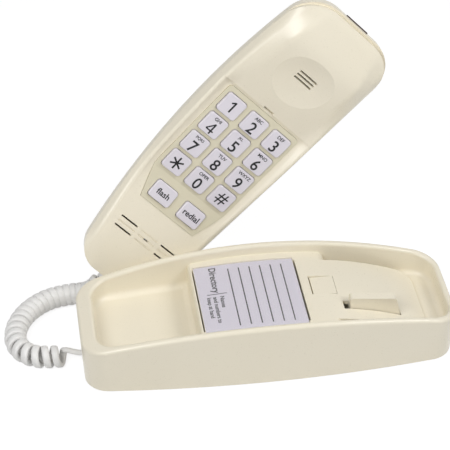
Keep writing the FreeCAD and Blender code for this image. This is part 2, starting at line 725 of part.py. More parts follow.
def mouth_stations():
    """Sections from the foot of the ear to the mouth tip: X, face height, crest height, face half width."""
    foot = PLATE_HALF + VALLEY_MARGIN
    stations = []
    for share in (0.0, 0.25, 0.5, 0.75, 1.0):
        x = EAR_SLOPE_START + share * (PLATE_CREASE - EAR_SLOPE_START)
        rise = CREST_RISE_EAR + share * (CREST_RISE_MIC - CREST_RISE_EAR)
        stations.append((x, FACE_MID, FACE_MID + rise, foot))
    tilt = math.tan(math.radians(FUNCTION_TILT))
    mic_edge = FACE_MID + tilt * (PLATE_CREASE - PLATE_MIC_EDGE)
    half_way = (PLATE_CREASE + PLATE_MIC_EDGE) / 2
    half_height = (FACE_MID + mic_edge) / 2
    places = [half_way, PLATE_MIC_EDGE, MIC_SLOT_X] + [MIC_TIP + inset for inset in MOUTH_TIP_INSETS]
    faces = [half_height, mic_edge, MIC_FACE_HEIGHT] + [MIC_TIP_HEIGHT - fall for fall in MOUTH_TIP_FALLS]
    for x, face, crest, narrowing in zip(places, faces, MOUTH_CRESTS, MOUTH_NARROWING):
        stations.append((x, face, face + crest, foot - narrowing))
    return stations


def ear_face(x):
    """Height of the ear's face: the slope up from the keypad and the fall to the tip, with a soft ridge."""
    slope = (EAR_RIDGE_HEIGHT - EAR_FOOT) / (EAR_RIDGE_X - EAR_SLOPE_START)
    up = EAR_FOOT + slope * (x - EAR_SLOPE_START)
    down = EAR_RIDGE_HEIGHT - EAR_END_FALL * (x - EAR_RIDGE_X) / (EAR_TIP - EAR_RIDGE_X)
    return (up + down - math.hypot(up - down, EAR_RIDGE_SOFTNESS)) / 2


def ear_stations():
    """Sections from the foot of the ear to its tip: X, face height, crest height, face half width."""
    stations = []
    foot_crest = FACE_MID + CREST_RISE_EAR
    for share in (0.0, 0.3, 0.6, 0.8, 0.92):
        x = EAR_SLOPE_START + share * (EAR_RIDGE_X - EAR_SLOPE_START)
        crest = foot_crest + share * (CREST_RIDGE_HEIGHT - foot_crest)
        half = PLATE_HALF + share * (EAR_RIDGE_HALF - PLATE_HALF)
        stations.append((x, ear_face(x), crest, half))
    for share in (0.0, 0.16, 0.4, 0.7, 1.1):
        x = EAR_RIDGE_X + share * (EAR_TIP - EAR_RIDGE_X)
        crest = CREST_RIDGE_HEIGHT + share * (CREST_TIP_HEIGHT - CREST_RIDGE_HEIGHT)
        half = EAR_RIDGE_HALF + share * (EAR_TIP_HALF - EAR_RIDGE_HALF)
        stations.append((x, ear_face(x), min(crest, ear_face(x) - CREST_UNDER_FACE), half))
    return stations


def evenly(stations, count):
    """Sections at even steps along X, read off between the chosen ones, for a calm loft."""
    first = stations[0][0]
    step = (stations[-1][0] - first) / count
    sections = [stations[0]]
    for k in range(1, count):
        x = first + k * step
        for a, b in zip(stations, stations[1:]):
            share = (x - a[0]) / (b[0] - a[0])
            if 0 <= share < 1:
                sections.append(tuple(p + share * (q - p) for p, q in zip(a, b)))
    return sections + [stations[-1]]


def corner_arc(before, here, after, cut):
    """Start, middle and end of an arc that rounds a corner, cut back on both sides by what the runs allow."""
    cut = min(cut, BEND_SHARE * (here - before).Length, BEND_SHARE * (after - here).Length)
    into = (here - before).normalize()
    out = (after - here).normalize()
    half_turn = into.getAngle(out) / 2
    radius = cut / math.tan(half_turn)
    middle = here + (out - into).normalize() * (radius / math.cos(half_turn) - radius)
    return here - into * cut, middle, here + out * cut


def band_top(x):
    """Top of the upright band that the front keeps over the parting line."""
    return parting_height(max(MIC_TIP, min(EAR_TIP, x))) + FRONT_BAND


def front_section(x, face, crest, half):
    """Outer cross-section of the front, with rounded crests and face edges."""
    outline = handset_half(x)
    side = outline + FRONT_OVERHANG
    shoulder = band_top(x) - (crest - band_top(x)) / CREST_INSET * FRONT_OVERHANG
    low = PARTING_MID - BACK_DEPTH
    corners = [Vector(x, y, z) for y, z in (
        (side, low), (side, shoulder), (outline - CREST_INSET, crest), (half, face),
        (-half, face), (CREST_INSET - outline, crest), (-side, shoulder), (-side, low))]
    cuts = {2: CREST_ROUND, 3: FACE_ROUND, 4: FACE_ROUND, 5: CREST_ROUND}
    edges = []
    start = corners[0]
    for k, corner in enumerate(corners[1:], 1):
        if k in cuts:
            a, middle, b = corner_arc(corners[k - 1], corner, corners[k + 1], cuts[k])
            edges.append(Part.LineSegment(start, a).toShape())
            edges.append(Part.Arc(a, middle, b).toShape())
            start = b
        else:
            edges.append(Part.LineSegment(start, corner).toShape())
            start = corner
    edges.append(Part.LineSegment(start, corners[0]).toShape())
    return Part.Wire(edges)


def hollow_section(x, face, half, wall):
    """Cross-section of the room inside the front."""
    side = handset_half(x) - FRONT_WALL + FRONT_OVERHANG
    inner_band = band_top(x) - INNER_BAND_DROP
    fall = (face - wall - inner_band) / (handset_half(x) - half)
    shoulder = inner_band - fall * FRONT_OVERHANG
    low = PARTING_MID - BACK_DEPTH
    points = [(side, low), (side, shoulder), (half - FRONT_WALL, face - wall),
              (FRONT_WALL - half, face - wall), (-side, shoulder), (-side, low)]
    corners = [Vector(x, y, z) for y, z in points]
    return Part.makePolygon(corners + corners[:1])


def front_form():
    """Outer form of the front: a smooth mouth and keypad part, and an ear part that starts with a step."""
    mouth = [front_section(*s) for s in evenly(mouth_stations(), MOUTH_STEPS)]
    ear = [front_section(*s) for s in evenly(ear_stations(), EAR_STEPS)]
    return Part.makeLoft(mouth, True, False).fuse(Part.makeLoft(ear, True, False))


def front_hollow():
    mouth = [hollow_section(x, face, half, FRONT_WALL) for x, face, crest, half in mouth_stations()]
    ear = [hollow_section(x, face, half, EAR_WALL) for x, face, crest, half in ear_stations()]
    return Part.makeLoft(mouth, True, True).fuse(Part.makeLoft(ear, True, True))


def tilted(shape, x, z, angle):
    """Turn a shape about a line along Y, so that a positive angle lifts its -X side."""
    copy = shape.copy()
    copy.rotate(Vector(x, 0, z), Vector(0, 1, 0), angle)
    return copy


def on_function_facet(shape):
    return tilted(shape, PLATE_CREASE, PLATE_TOP, FUNCTION_TILT)


def on_ear_slope(shape):
    rise = EAR_RIDGE_HEIGHT - EAR_FOOT
    run = EAR_RIDGE_X - EAR_SLOPE_START
    return tilted(shape, EAR_SLOPE_START, EAR_FOOT, -math.degrees(math.atan2(rise, run)))


def ear_along():
    """Distance of the ear slots from the foot of the slope, measured along the slope."""
    rise = EAR_RIDGE_HEIGHT - EAR_FOOT
    run = EAR_RIDGE_X - EAR_SLOPE_START
    return EAR_SLOPE_START + (EAR_SLOT_X - EAR_SLOPE_START) * math.hypot(rise, run) / run


def on_mic_slope(shape):
    return tilted(shape, MIC_SLOT_X, MIC_FACE_HEIGHT, MIC_TILT)


def polygon_prism(points, z0, z1):
    corners = [Vector(x, y, z0) for x, y in points]
    return Part.Face(Part.makePolygon(corners + corners[:1])).extrude(Vector(0, 0, z1 - z0))


def plate_prisms(inset, z0, z1):
    """The two facets of the keypad plate, as prisms between two depths under its top."""
    half = PLATE_HALF - inset
    ear_edge = PLATE_EAR_EDGE - inset
    corners = [(PLATE_CREASE, -half), (ear_edge, -half), (ear_edge, half), (PLATE_CREASE, half)]
    main = polygon_prism(corners, z0, z1)
    mic_half = PLATE_MIC_HALF - inset
    run = (PLATE_CREASE - PLATE_MIC_EDGE) / math.cos(math.radians(FUNCTION_TILT))
    edge = PLATE_CREASE - run + inset
    lap = PLATE_CREASE + PLATE_THICKNESS * math.tan(math.radians(FUNCTION_TILT))
    facet = polygon_prism([(edge, -mic_half), (lap, -half), (lap, half), (edge, mic_half)], z0, z1)
    return main, on_function_facet(facet)


def plate_form(inset, z0, z1):
    main, facet = plate_prisms(inset, z0, z1)
    ear_posts = [e for e in upright_edges(main) if e.CenterOfMass.x > 0]
    return main.makeFillet(PLATE_CORNER - inset, ear_posts).fuse(facet)


KEY_NAMES = [["key_1", "key_2", "key_3"], ["key_4", "key_5", "key_6"],
             ["key_7", "key_8", "key_9"], ["key_star", "key_0", "key_hash"]]


def digit_places():
    for row, names in enumerate(KEY_NAMES):
        for column, name in enumerate(names):
            yield name, (1.5 - row) * KEY_ROW_PITCH, (1 - column) * KEY_COLUMN_PITCH


def function_places():
    along = PLATE_CREASE + (FUNCTION_KEY_X - PLATE_CREASE) / math.cos(math.radians(FUNCTION_TILT))
    yield "key_flash", along, FUNCTION_KEY_Y
    yield "key_redial", along, -FUNCTION_KEY_Y


def make_key(x, y, length, width):
    cap = rounded_block(x, y, length, width, FLANGE_TOP - KEY_FLANGE_THICKNESS, 0, KEY_CORNER)
    cap = cap.makeFillet(KEY_TOP_ROUND, edges_at(cap, 0))
    flange = rounded_block(x, y, length + 2 * KEY_FLANGE, width + 2 * KEY_FLANGE,
                           FLANGE_TOP - KEY_FLANGE_THICKNESS, FLANGE_TOP, KEY_CORNER + KEY_FLANGE)
    return cap.fuse(flange).removeSplitter()


def key_hole(x, y, length, width):
    return rounded_block(x, y, length + 2 * KEY_GAP, width + 2 * KEY_GAP,
                         PLATE_SEAT - PLATE_THICKNESS, PLATE_THICKNESS, KEY_CORNER + KEY_GAP)


def make_keypad_plate():
    plate = plate_form(0, PLATE_SEAT, PLATE_TOP)
    for _, x, y in digit_places():
        plate = plate.cut(key_hole(x, y, KEY_LENGTH, KEY_WIDTH))
    for _, x, y in function_places():
        plate = plate.cut(on_function_facet(key_hole(x, y, FUNCTION_KEY_LENGTH, FUNCTION_KEY_WIDTH)))
    return plate.removeSplitter()


def ear_slots():
    along = ear_along()
    low = EAR_FOOT - 2 * EAR_WALL
    high = EAR_FOOT + 2 * EAR_WALL
    places = [along - EAR_SLOT_PITCH, along, along + EAR_SLOT_PITCH]
    slots = [block(x, 0, EAR_SLOT_WIDTH, EAR_SLOT_LENGTH, low, high) for x in places]
    return [on_ear_slope(s) for s in slots]


def ear_dish():
    radius = (EAR_DISH_RADIUS ** 2 + EAR_DISH_DEPTH ** 2) / (2 * EAR_DISH_DEPTH)
    ball = Part.makeSphere(radius, Vector(ear_along(), 0, EAR_FOOT - EAR_DISH_DEPTH + radius))
    return on_ear_slope(ball)


def mic_slots():
    """Nine slots over the microphone: the outer rows go through at both sides, the rest are grooves."""
    cuts = []
    above = MIC_FACE_HEIGHT + MIC_SLOT_DEPTH
    for column in (-1, 0, 1):
        for row in (-1, 0, 1):
            through = column != 0 and row != 0
            depth = MIC_SLOT_DEPTH if through else MIC_GROOVE_DEPTH
            x = MIC_SLOT_X + row * MIC_SLOT_PITCH
            y = column * MIC_COLUMN_PITCH
            cuts.append(block(x, y, MIC_SLOT_WIDTH, MIC_SLOT_LENGTH, MIC_FACE_HEIGHT - depth, above))
    cuts.append(block(MIC_SLOT_X, 0, MIC_SLOT_WIDTH, MIC_SLOT_LENGTH / 4,
                      MIC_FACE_HEIGHT - MIC_SLOT_DEPTH, above))
    return [on_mic_slope(c) for c in cuts]


def seat_ring(radius, x, top, depth):
    ring = post(radius + SHELL / 2, x, 0, top - depth, top)
    return ring.cut(post(radius, x, 0, top - depth - 1, top + 1))


def hang_slot():
    """The slot for the wall hook, in the step at the foot of the ear."""
    x = EAR_SLOPE_START + HANG_SLOT_LENGTH / 2
    return block(x, 0, HANG_SLOT_LENGTH, HANG_SLOT_WIDTH,
                 EAR_FOOT - HANG_SLOT_DEPTH, EAR_FOOT + HANG_SLOT_DEPTH)


def make_front_shell():
    trim = parting_drum(0)
    shell = front_form().common(front_prism(0)).common(trim)
    shell = shell.cut(front_hollow().common(front_prism(FRONT_WALL)))
    ear_top = EAR_FOOT - EAR_WALL / 2
    mic_top = MIC_FACE_HEIGHT - FRONT_WALL / 2
    ear_ring = seat_ring(RECEIVER_RADIUS + PLATE_GAP, ear_along(), ear_top, RECEIVER_SEAT_DEPTH)
    mic_ring = seat_ring(MIC_RADIUS + PLATE_GAP, MIC_SLOT_X, mic_top, MIC_SEAT_DEPTH)
    shell = shell.fuse(on_ear_slope(ear_ring)).fuse(on_mic_slope(mic_ring)).common(trim)
    shell = shell.cut(ear_dish())
    for slot in ear_slots() + mic_slots():
        shell = shell.cut(slot)
    shell = shell.cut(hang_slot())
    shell = shell.cut(plate_form(-PLATE_GAP, PLATE_SEAT, PLATE_TOP + KEY_PROUD))
    shell = shell.cut(plate_form(PLATE_LEDGE, BOARD_TOP, PLATE_TOP))
    return shell.removeSplitter()


def make_jack_at_tip():
    place = Vector(MIC_TIP + HANDSET_JACK_RECESS + SHELL, 0, HANDSET_CORD_Z)
    return moved(make_jack(CORD_PLUG_WIDTH, CORD_PLUG_HEIGHT), place)


def lens_block(extra, proud):
    return box(EAR_TIP - LENS_DEPTH, EAR_TIP + proud, -LENS_WIDTH / 2 - extra, LENS_WIDTH / 2 + extra,
               LENS_Z - LENS_HEIGHT / 2 - extra, LENS_Z + LENS_HEIGHT / 2 + extra)


def handset_board_places():
    left = PLATE_MIC_EDGE
    return board_places(left, PLATE_EAR_EDGE - left, 2 * (PLATE_HALF - HANDSET_BOARD_INSET))


def make_back_shell():
    shell = back_form(0).cut(back_form(SHELL)).cut(parting_drum(0))
    for x, y in handset_board_places():
        pillar = post(STANDOFF_RADIUS, x, y, PARTING_MID - BACK_DEPTH, BOARD_TOP - BOARD_THICKNESS)
        shell = shell.fuse(pillar.common(back_form(SHELL / 2)))
    open_width, open_height = plug_opening(CORD_PLUG_WIDTH, CORD_PLUG_HEIGHT)
    shell = shell.cut(block(MIC_TIP, 0, 4 * SHELL, open_width,
                            HANDSET_CORD_Z - open_height / 2, HANDSET_CORD_Z + open_height / 2))
    seat = make_jack_at_tip().BoundBox
    shell = shell.cut(box(seat.XMin, seat.XMax, seat.YMin, seat.YMax, seat.ZMin, seat.ZMax))
    return shell.cut(lens_block(PLATE_GAP, SHELL)).removeSplitter()


def make_key_mat():
    half = PLATE_HALF - MAT_INSET
    return box(PLATE_CREASE, PLATE_EAR_EDGE - MAT_INSET, -half, half, BOARD_TOP, MAT_TOP)


def make_handset_board():
    half = PLATE_HALF - HANDSET_BOARD_INSET
    return box(PLATE_MIC_EDGE, PLATE_EAR_EDGE, -half, half, BOARD_TOP - BOARD_THICKNESS, BOARD_TOP)


def make_receiver():
    top = EAR_FOOT - EAR_WALL - RECEIVER_SEAT_GAP
    disc = post(RECEIVER_RADIUS, ear_along(), 0, top - RECEIVER_DEPTH, top)
    disc = disc.makeFillet(RECEIVER_ROUND, edges_at(disc, top - RECEIVER_DEPTH))
    return on_ear_slope(disc)


def make_microphone():
    top = MIC_FACE_HEIGHT - FRONT_WALL - MIC_SEAT_GAP
    return on_mic_slope(post(MIC_RADIUS, MIC_SLOT_X, 0, top - MIC_DEPTH, top))


def handset_place():
    return Placement(HANDSET_POINT, Rotation(HANDSET_YAW, -HANDSET_LEAN, HANDSET_ROLL))


def stand(shape):
    """Take a piece from the handset's frame to where the handset stands."""
    copy = shape.copy()
    copy.Placement = handset_place().multiply(copy.Placement)
    return copy


def tube(points, diameter, label):
    """A tube along straight runs joined by tangent arcs, as large as the runs allow."""
    edges = []
    radii = []
    start = points[0]
    for before, here, after in zip(points, points[1:], points[2:]):
        a, middle, b = corner_arc(before, here, after, REACH)
        bend = Part.Arc(a, middle, b).toShape()
        radii.append(round(bend.Curve.Radius, 1))
        edges.append(Part.LineSegment(start, a).toShape())
        edges.append(bend)
        start = b
    edges.append(Part.LineSegment(start, points[-1]).toShape())
    path = Part.Wire(edges)
    direction = (points[1] - points[0]).normalize()
    ring = Part.Wire([Part.makeCircle(diameter / 2, points[0], direction)])
    solid = path.makePipeShell([ring], True, False)
    expected = math.pi * diameter ** 2 / 4 * path.Length
    share = round(solid.Volume / expected, 4)
    print(label, "length", round(path.Length, 1), "radii", radii, "volume share", share)
    return solid


def cord_pieces():
    tip = stand(Part.Vertex(Vector(MIC_TIP, 0, HANDSET_CORD_Z))).Point
    way = handset_place().Rotation.multVec(Vector(-1, 0, 0))
    plug_end = tip - way * HANDSET_JACK_RECESS
    coil_start = tip + way * TAIL_LENGTH
    coil = [coil_start, coil_start + way * COIL_FIRST_RUN] + [Vector(*p) for p in COIL_ROUTE]
    coil_way = (coil[-1] - coil[-2]).normalize()
    mouth = base_cord_mouth()
    tail = [coil[-1], coil[-1] + coil_way * TAIL_FIRST_RUN, mouth - Vector(TAIL_LAST_RUN, 0, 0), mouth]
    tail_length = TAIL_LENGTH + HANDSET_JACK_RECESS
    yield "handset_cord_tail", Part.makeCylinder(TAIL_DIAMETER / 2, tail_length, plug_end, way)
    yield "curly_cord", tube(coil, COIL_DIAMETER, "curly cord")
    yield "base_cord_tail", tube(tail, TAIL_DIAMETER, "base tail")


def base_pieces():
    yield "base_housing", make_base_housing()
    yield "base_cover", make_base_cover()
    yield "rubber_feet", make_rubber_feet()
    yield "base_weight", make_base_weight()
    yield "base_board", make_base_board()
    yield "directory_card", card_space(0, CARD_THICKNESS + CARD_AIR + WINDOW_THICKNESS, CARD_THICKNESS)
    yield "card_window", card_space(0, WINDOW_THICKNESS, WINDOW_THICKNESS)
    yield "handset_hook", make_handset_hook()
    yield "hookswitch_lever", make_hookswitch_lever()
    yield "hookswitch_pin", make_hookswitch_pin()
    yield "hookswitch_spring", make_hookswitch_spring()
    yield "hookswitch_switch", make_hookswitch_switch()
    yield "base_cord_jack", base_cord_jack()
    yield "line_jack", line_jack()
    yield "base_cord_plug", moved(make_plug(CORD_PLUG_WIDTH, CORD_PLUG_HEIGHT), base_cord_mouth())


def handset_pieces():
    yield "handset_front_shell", make_front_shell()
    yield "handset_back_shell", make_back_shell()
    yield "keypad_plate", make_keypad_plate()
    for name, x, y in digit_places():
        yield name, make_key(x, y, KEY_LENGTH, KEY_WIDTH)
    for name, x, y in function_places():
        yield name, on_function_facet(make_key(x, y, FUNCTION_KEY_LENGTH, FUNCTION_KEY_WIDTH))
    yield "key_mat", make_key_mat()
    yield "handset_board", make_handset_board()
    yield "receiver", make_receiver()
    yield "microphone", make_microphone()
    yield "indicator_lens", lens_block(0, -LENS_INSET)
    yield "handset_cord_jack", make_jack_at_tip()
    plug_place = Vector(MIC_TIP + HANDSET_JACK_RECESS, 0, HANDSET_CORD_Z)
    yield "handset_cord_plug", moved(make_plug(CORD_PLUG_WIDTH, CORD_PLUG_HEIGHT), plug_place)


def main():
    for name, shape in base_pieces():
        nodes[name] = shape
    for name, shape in handset_pieces():
        nodes[name] = stand(shape)
    for name, shape in cord_pieces():
        nodes[name] = shape
    for name, shape in nodes.items():
        print(name, "valid" if shape.isValid() else "NOT VALID", len(shape.Solids), round(shape.Volume))
        shape.exportStep("parts/" + name + ".step")


main()
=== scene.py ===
"""Finishes of a corded landline phone: plastics, key and card printing, small fittings and curly cord."""

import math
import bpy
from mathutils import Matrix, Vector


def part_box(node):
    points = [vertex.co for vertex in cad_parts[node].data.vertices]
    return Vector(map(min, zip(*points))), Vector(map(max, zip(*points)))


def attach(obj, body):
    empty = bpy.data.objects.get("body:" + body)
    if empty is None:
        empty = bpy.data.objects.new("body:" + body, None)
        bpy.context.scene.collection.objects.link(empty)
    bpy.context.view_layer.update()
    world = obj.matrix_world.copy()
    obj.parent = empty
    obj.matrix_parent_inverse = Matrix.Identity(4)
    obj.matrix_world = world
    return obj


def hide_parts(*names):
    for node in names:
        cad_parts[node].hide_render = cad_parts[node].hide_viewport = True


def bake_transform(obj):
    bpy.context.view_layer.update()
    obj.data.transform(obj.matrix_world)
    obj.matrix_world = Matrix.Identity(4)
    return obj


bl_info = {
    "name": "Corded Landline Phone",
    "version": (1, 0, 0),
    "blender": (4, 5, 0),
    "location": "View3D > Sidebar > Phone",
    "description": "Finishes, key and card printing, screws, contacts, lens and curly cord of a slim phone",
    "category": "Object",
}

import bmesh
import bpy
from bpy.props import FloatProperty, FloatVectorProperty, IntProperty, PointerProperty
from mathutils import Matrix, Vector

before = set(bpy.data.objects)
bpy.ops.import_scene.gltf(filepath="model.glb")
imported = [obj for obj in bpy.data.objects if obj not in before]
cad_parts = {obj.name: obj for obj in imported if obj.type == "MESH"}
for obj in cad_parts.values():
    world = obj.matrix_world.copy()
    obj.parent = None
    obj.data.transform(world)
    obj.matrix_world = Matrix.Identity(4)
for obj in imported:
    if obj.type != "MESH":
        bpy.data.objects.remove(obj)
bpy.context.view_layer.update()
MM = 0.001

# The handset's own frame: X towards the ear, Z out of the face, origin at the middle of the key tops
HANDSET_PLACE = (
    Matrix.Translation(Vector((-13.4, 59.65, 91.8)) * MM)
    @ Matrix.Rotation(math.radians(9.2), 4, "Z")
    @ Matrix.Rotation(math.radians(-44.0), 4, "Y")
    @ Matrix.Rotation(math.radians(75.2), 4, "X")
)
KEY_ROW_PITCH = 15.3
KEY_COLUMN_PITCH = 17.8
FUNCTION_KEY_X = -42.2
FUNCTION_KEY_Y = 11.0
FUNCTION_TILT = 10.5
PLATE_CREASE = -31.8
PLATE_TOP = -1.6

# The lens in the handset's ear tip
EAR_TIP = 105.5
LENS_DEPTH = 3.4
LENS_WIDTH = 16.2
LENS_HEIGHT = 1.3
LENS_Z = 2.6
LENS_EDGE = 0.25

# The tray's arch, and the card and its ruled lines that follow it
ARCH_RADIUS = 411.2
ARCH_TOP = 42.0
CARD_DEPTH = 6.75
RULE_LENGTH = 50.4
RULE_WIDTH = 0.75
RULE_START = -17.8

# Pan-head screws in the bottom cover
SCREW_SPACING_X = 132.0
SCREW_SPACING_Y = 42.0
SCREW_HEAD_RADIUS = 2.7
SCREW_HEAD_HEIGHT = 0.9
SCREW_RECESS = 0.45
SCREW_Z = 0.76
SCREW_CROSS_LENGTH = 1.3
SCREW_CROSS_WIDTH = 0.26

# Spring contacts of the line socket, set back and down from its outer top edge
CONTACT_COUNT = 4
CONTACT_PITCH = 1.02
CONTACT_LENGTH = 8.6
CONTACT_RADIUS = 0.23
CONTACT_SLANT = 66.0
CONTACT_SETBACK = 5.6
CONTACT_DROP = 3.3

# Cord route in millimetres, from the base's socket to the handset's tip
CORD_ROUTE = [
    (-105.93, -5.2, 8.2),
    (-111.33, -5.2, 8.2),
    (-117.63, -5.35, 6.7),
    (-122.6, -4.8, 6.7),
    (-131.6, -3.8, 6.7),
    (-139.8, 2.2, 6.7),
    (-143.4, 12.4, 6.7),
    (-141.4, 25.2, 6.7),
    (-134.2, 37.6, 6.7),
    (-122.5, 46.6, 6.7),
    (-109.0, 49.0, 7.0),
    (-96.86, 44.76, 10.43),
    (-90.83, 45.74, 16.34),
    (-84.08, 46.83, 22.94),
]

# Winding of the cord: its plain tails, the stretch of open turns by the base and the angle of the first turn
BASE_TAIL = 15.0
BASE_TAIL_PLAIN_SHARE = 0.4
HANDSET_TAIL = 10.0
OPEN_STRETCH = 58.0
OPEN_FADE = 14.0
FIRST_TURN = 35.0
STRAND_STEPS = 900
SECTION_POINTS = 14
SECTION_ROUNDING = 0.62

# Camera of the photograph: degrees, millimetres and a 36 mm sensor
CAMERA_AZIMUTH = -8.25
CAMERA_ELEVATION = 37.6
CAMERA_DISTANCE = 950.6
CAMERA_LENS = 138.5
CAMERA_AIM = (-22.94, 0.0, 86.61)

# Studio: each lamp's place and width in millimetres and its power in watts, and what they all point at
STUDIO_LAMPS = (
    ("left_softbox", (-450, -460, 660), 480, 4.0),
    ("right_softbox", (520, -330, 660), 420, 3.4),
    ("rear_softbox", (60, 220, 900), 600, 0.8),
)
LAMP_AIM = (-20, 20, 50)
ROOM_LIGHT = 0.19
FLOOR_RADIUS = 6000.0
FLOOR_GLOW = 1.4
FLOOR_GLOW_SHARE = 0.6


def linear(hex_colour):
    """An sRGB hex value as a linear colour."""
    channels = []
    for start in (1, 3, 5):
        value = int(hex_colour[start:start + 2], 16) / 255
        channels.append(value / 12.92 if value <= 0.04045 else ((value + 0.055) / 1.055) ** 2.4)
    return tuple(channels)


def rgba(colour):
    """A colour with full opacity."""
    return (colour[0], colour[1], colour[2], 1.0)


def per_mm(size):
    """Texture scale at which a pattern repeats about every size millimetres."""
    return 1 / (size * MM)


def add_node(tree, kind, inputs=None, **settings):
    """Add a node with its settings, and with inputs set to values or linked to other nodes' outputs."""
    made = tree.nodes.new(kind)
    for name, value in settings.items():
        setattr(made, name, value)
    for key, value in (inputs or {}).items():
        if isinstance(value, bpy.types.NodeSocket):
            tree.links.new(value, made.inputs[key])
        else:
            made.inputs[key].default_value = value
    return made


def finish_material(name, build):
    """A node material whose surface shader comes from build."""
    found = bpy.data.materials.get(name)
    if found:
        return found
    material = bpy.data.materials.new(name)
    material.use_nodes = True
    tree = material.node_tree
    tree.nodes.clear()
    shader = build(tree)
    add_node(tree, "ShaderNodeOutputMaterial", {"Surface": shader.outputs[0]})
    return material


def moulded(name, colour, shade, roughness, grain, depth):
    """Moulded plastic or rubber: two close tones in broad clouds, and the grain that the mould leaves."""
    def build(tree):
        place = add_node(tree, "ShaderNodeTexCoord").outputs["Object"]
        clouds = add_node(tree, "ShaderNodeTexNoise", {"Vector": place, "Scale": per_mm(55), "Detail": 2.0})
        tone = add_node(tree, "ShaderNodeMixRGB", {
            "Fac": clouds.outputs["Fac"], "Color1": rgba(shade), "Color2": rgba(colour)})
        fine = add_node(tree, "ShaderNodeTexNoise", {"Vector": place, "Scale": per_mm(grain), "Detail": 3.0})
        skin = add_node(tree, "ShaderNodeMapRange", {
            "Value": fine.outputs["Fac"], "To Min": roughness - 0.05, "To Max": roughness + 0.05})
        bump = add_node(tree, "ShaderNodeBump", {
            "Height": fine.outputs["Fac"], "Strength": 0.35, "Distance": depth * MM})
        return add_node(tree, "ShaderNodeBsdfPrincipled", {
            "Base Color": tone.outputs["Color"], "Roughness": skin.outputs["Result"],
            "IOR": 1.53, "Normal": bump.outputs["Normal"]})
    return finish_material(name, build)


def ivory_abs():
    # Satin ivory ABS: a soft broad highlight over a faint spark-eroded grain, drawn coarser than it is
    tones = bpy.context.scene.phone_finish
    return moulded("moulded_ivory_abs", tones.ivory, tones.ivory_shade, 0.29, 0.9, 0.012)


def key_abs():
    # Polished white ABS with a cool cast, smoother than the shells round it
    tones = bpy.context.scene.phone_finish
    return moulded("polished_key_abs", tones.key, tones.key_shade, 0.24, 1.4, 0.006)


def shaded_plate_finish():
    # Moulded ABS, duller than the shells round it, with painted shade: its darker tone stands in for the
    # shade that falls on the plate between the keys
    return moulded("plate_abs_painted_shade", linear("#d8d2bb"), linear("#d2cbb2"), 0.36, 0.9, 0.012)


def lens_acrylic():
    # Dark red tinted acrylic: close to black unlit, with a sharp polished highlight
    return moulded("tinted_acrylic", linear("#3d1d1b"), linear("#301615"), 0.1, 1.5, 0.003)


def nitrile_rubber():
    # Black nitrile rubber: matt, with a dusty bloom in two dark greys
    return moulded("black_nitrile_rubber", linear("#3c3b39"), linear("#2c2b2a"), 0.75, 0.7, 0.04)


def phenolic_laminate():
    # Pressed phenolic paper: brown and half matt, with a soft mottle
    return moulded("phenolic_laminate", linear("#a9814a"), linear("#8f6a38"), 0.55, 1.2, 0.02)


def black_nylon():
    # Moulded black nylon: half matt, so that edges show as grey
    return moulded("black_nylon", linear("#26262a"), linear("#1b1b1e"), 0.5, 0.8, 0.02)


def silicone_rubber():
    # Grey silicone rubber: even and soft, with a weak sheen
    return moulded("grey_silicone_rubber", linear("#8d8d8c"), linear("#7d7d7c"), 0.6, 0.9, 0.02)


def socket_polyester():
    # Moulded polyester: half matt, and a duller tan than the shells
    return moulded("socket_polyester", linear("#cfc6b2"), linear("#c2b8a3"), 0.5, 0.9, 0.02)


def plug_polycarbonate():
    # Polycarbonate over white leads: a milky body with sharp highlights
    return moulded("clear_polycarbonate", linear("#e4e4e2"), linear("#d6d6d4"), 0.15, 1.5, 0.005)


def printing_ink():
    # Pad-printed epoxy ink: dense black with a dull, slightly uneven film
    def build(tree):
        place = add_node(tree, "ShaderNodeTexCoord").outputs["Object"]
        film = add_node(tree, "ShaderNodeTexNoise", {"Vector": place, "Scale": per_mm(0.5), "Detail": 2.0})
        tone = add_node(tree, "ShaderNodeMixRGB", {
            "Fac": film.outputs["Fac"], "Color1": rgba(linear("#0c0c0f")), "Color2": rgba(linear("#1b1b20"))})
        return add_node(tree, "ShaderNodeBsdfPrincipled", {
            "Base Color": tone.outputs["Color"], "Roughness": 0.45, "IOR": 1.5})
    return finish_material("pad_printed_ink", build)


def card_stock():
    # Uncoated index card: dull, cool white, with paper fibres that show as faint flecks
    def build(tree):
        tones = bpy.context.scene.phone_finish
        place = add_node(tree, "ShaderNodeTexCoord").outputs["Object"]
        fibres = add_node(tree, "ShaderNodeTexNoise", {"Vector": place, "Scale": per_mm(0.8), "Detail": 5.0})
        tone = add_node(tree, "ShaderNodeMixRGB", {
            "Fac": fibres.outputs["Fac"], "Color1": rgba(tones.card_shade), "Color2": rgba(tones.card)})
        return add_node(tree, "ShaderNodeBsdfPrincipled", {
            "Base Color": tone.outputs["Color"], "Roughness": 0.8, "IOR": 1.45})
    return finish_material("uncoated_card_stock", build)


def window_sheet():
    # Clear PVC sheet: nearly invisible from above, with a weak reflection
    def build(tree):
        place = add_node(tree, "ShaderNodeTexCoord").outputs["Object"]
        smear = add_node(tree, "ShaderNodeTexNoise", {"Vector": place, "Scale": per_mm(18), "Detail": 2.0})
        haze = add_node(tree, "ShaderNodeMapRange", {
            "Value": smear.outputs["Fac"], "To Min": 0.12, "To Max": 0.2})
        return add_node(tree, "ShaderNodeBsdfPrincipled", {
            "Base Color": rgba(linear("#f4f3f6")), "Roughness": haze.outputs["Result"],
            "IOR": 1.53, "Alpha": 0.08})
    return finish_material("clear_pvc_sheet", build)


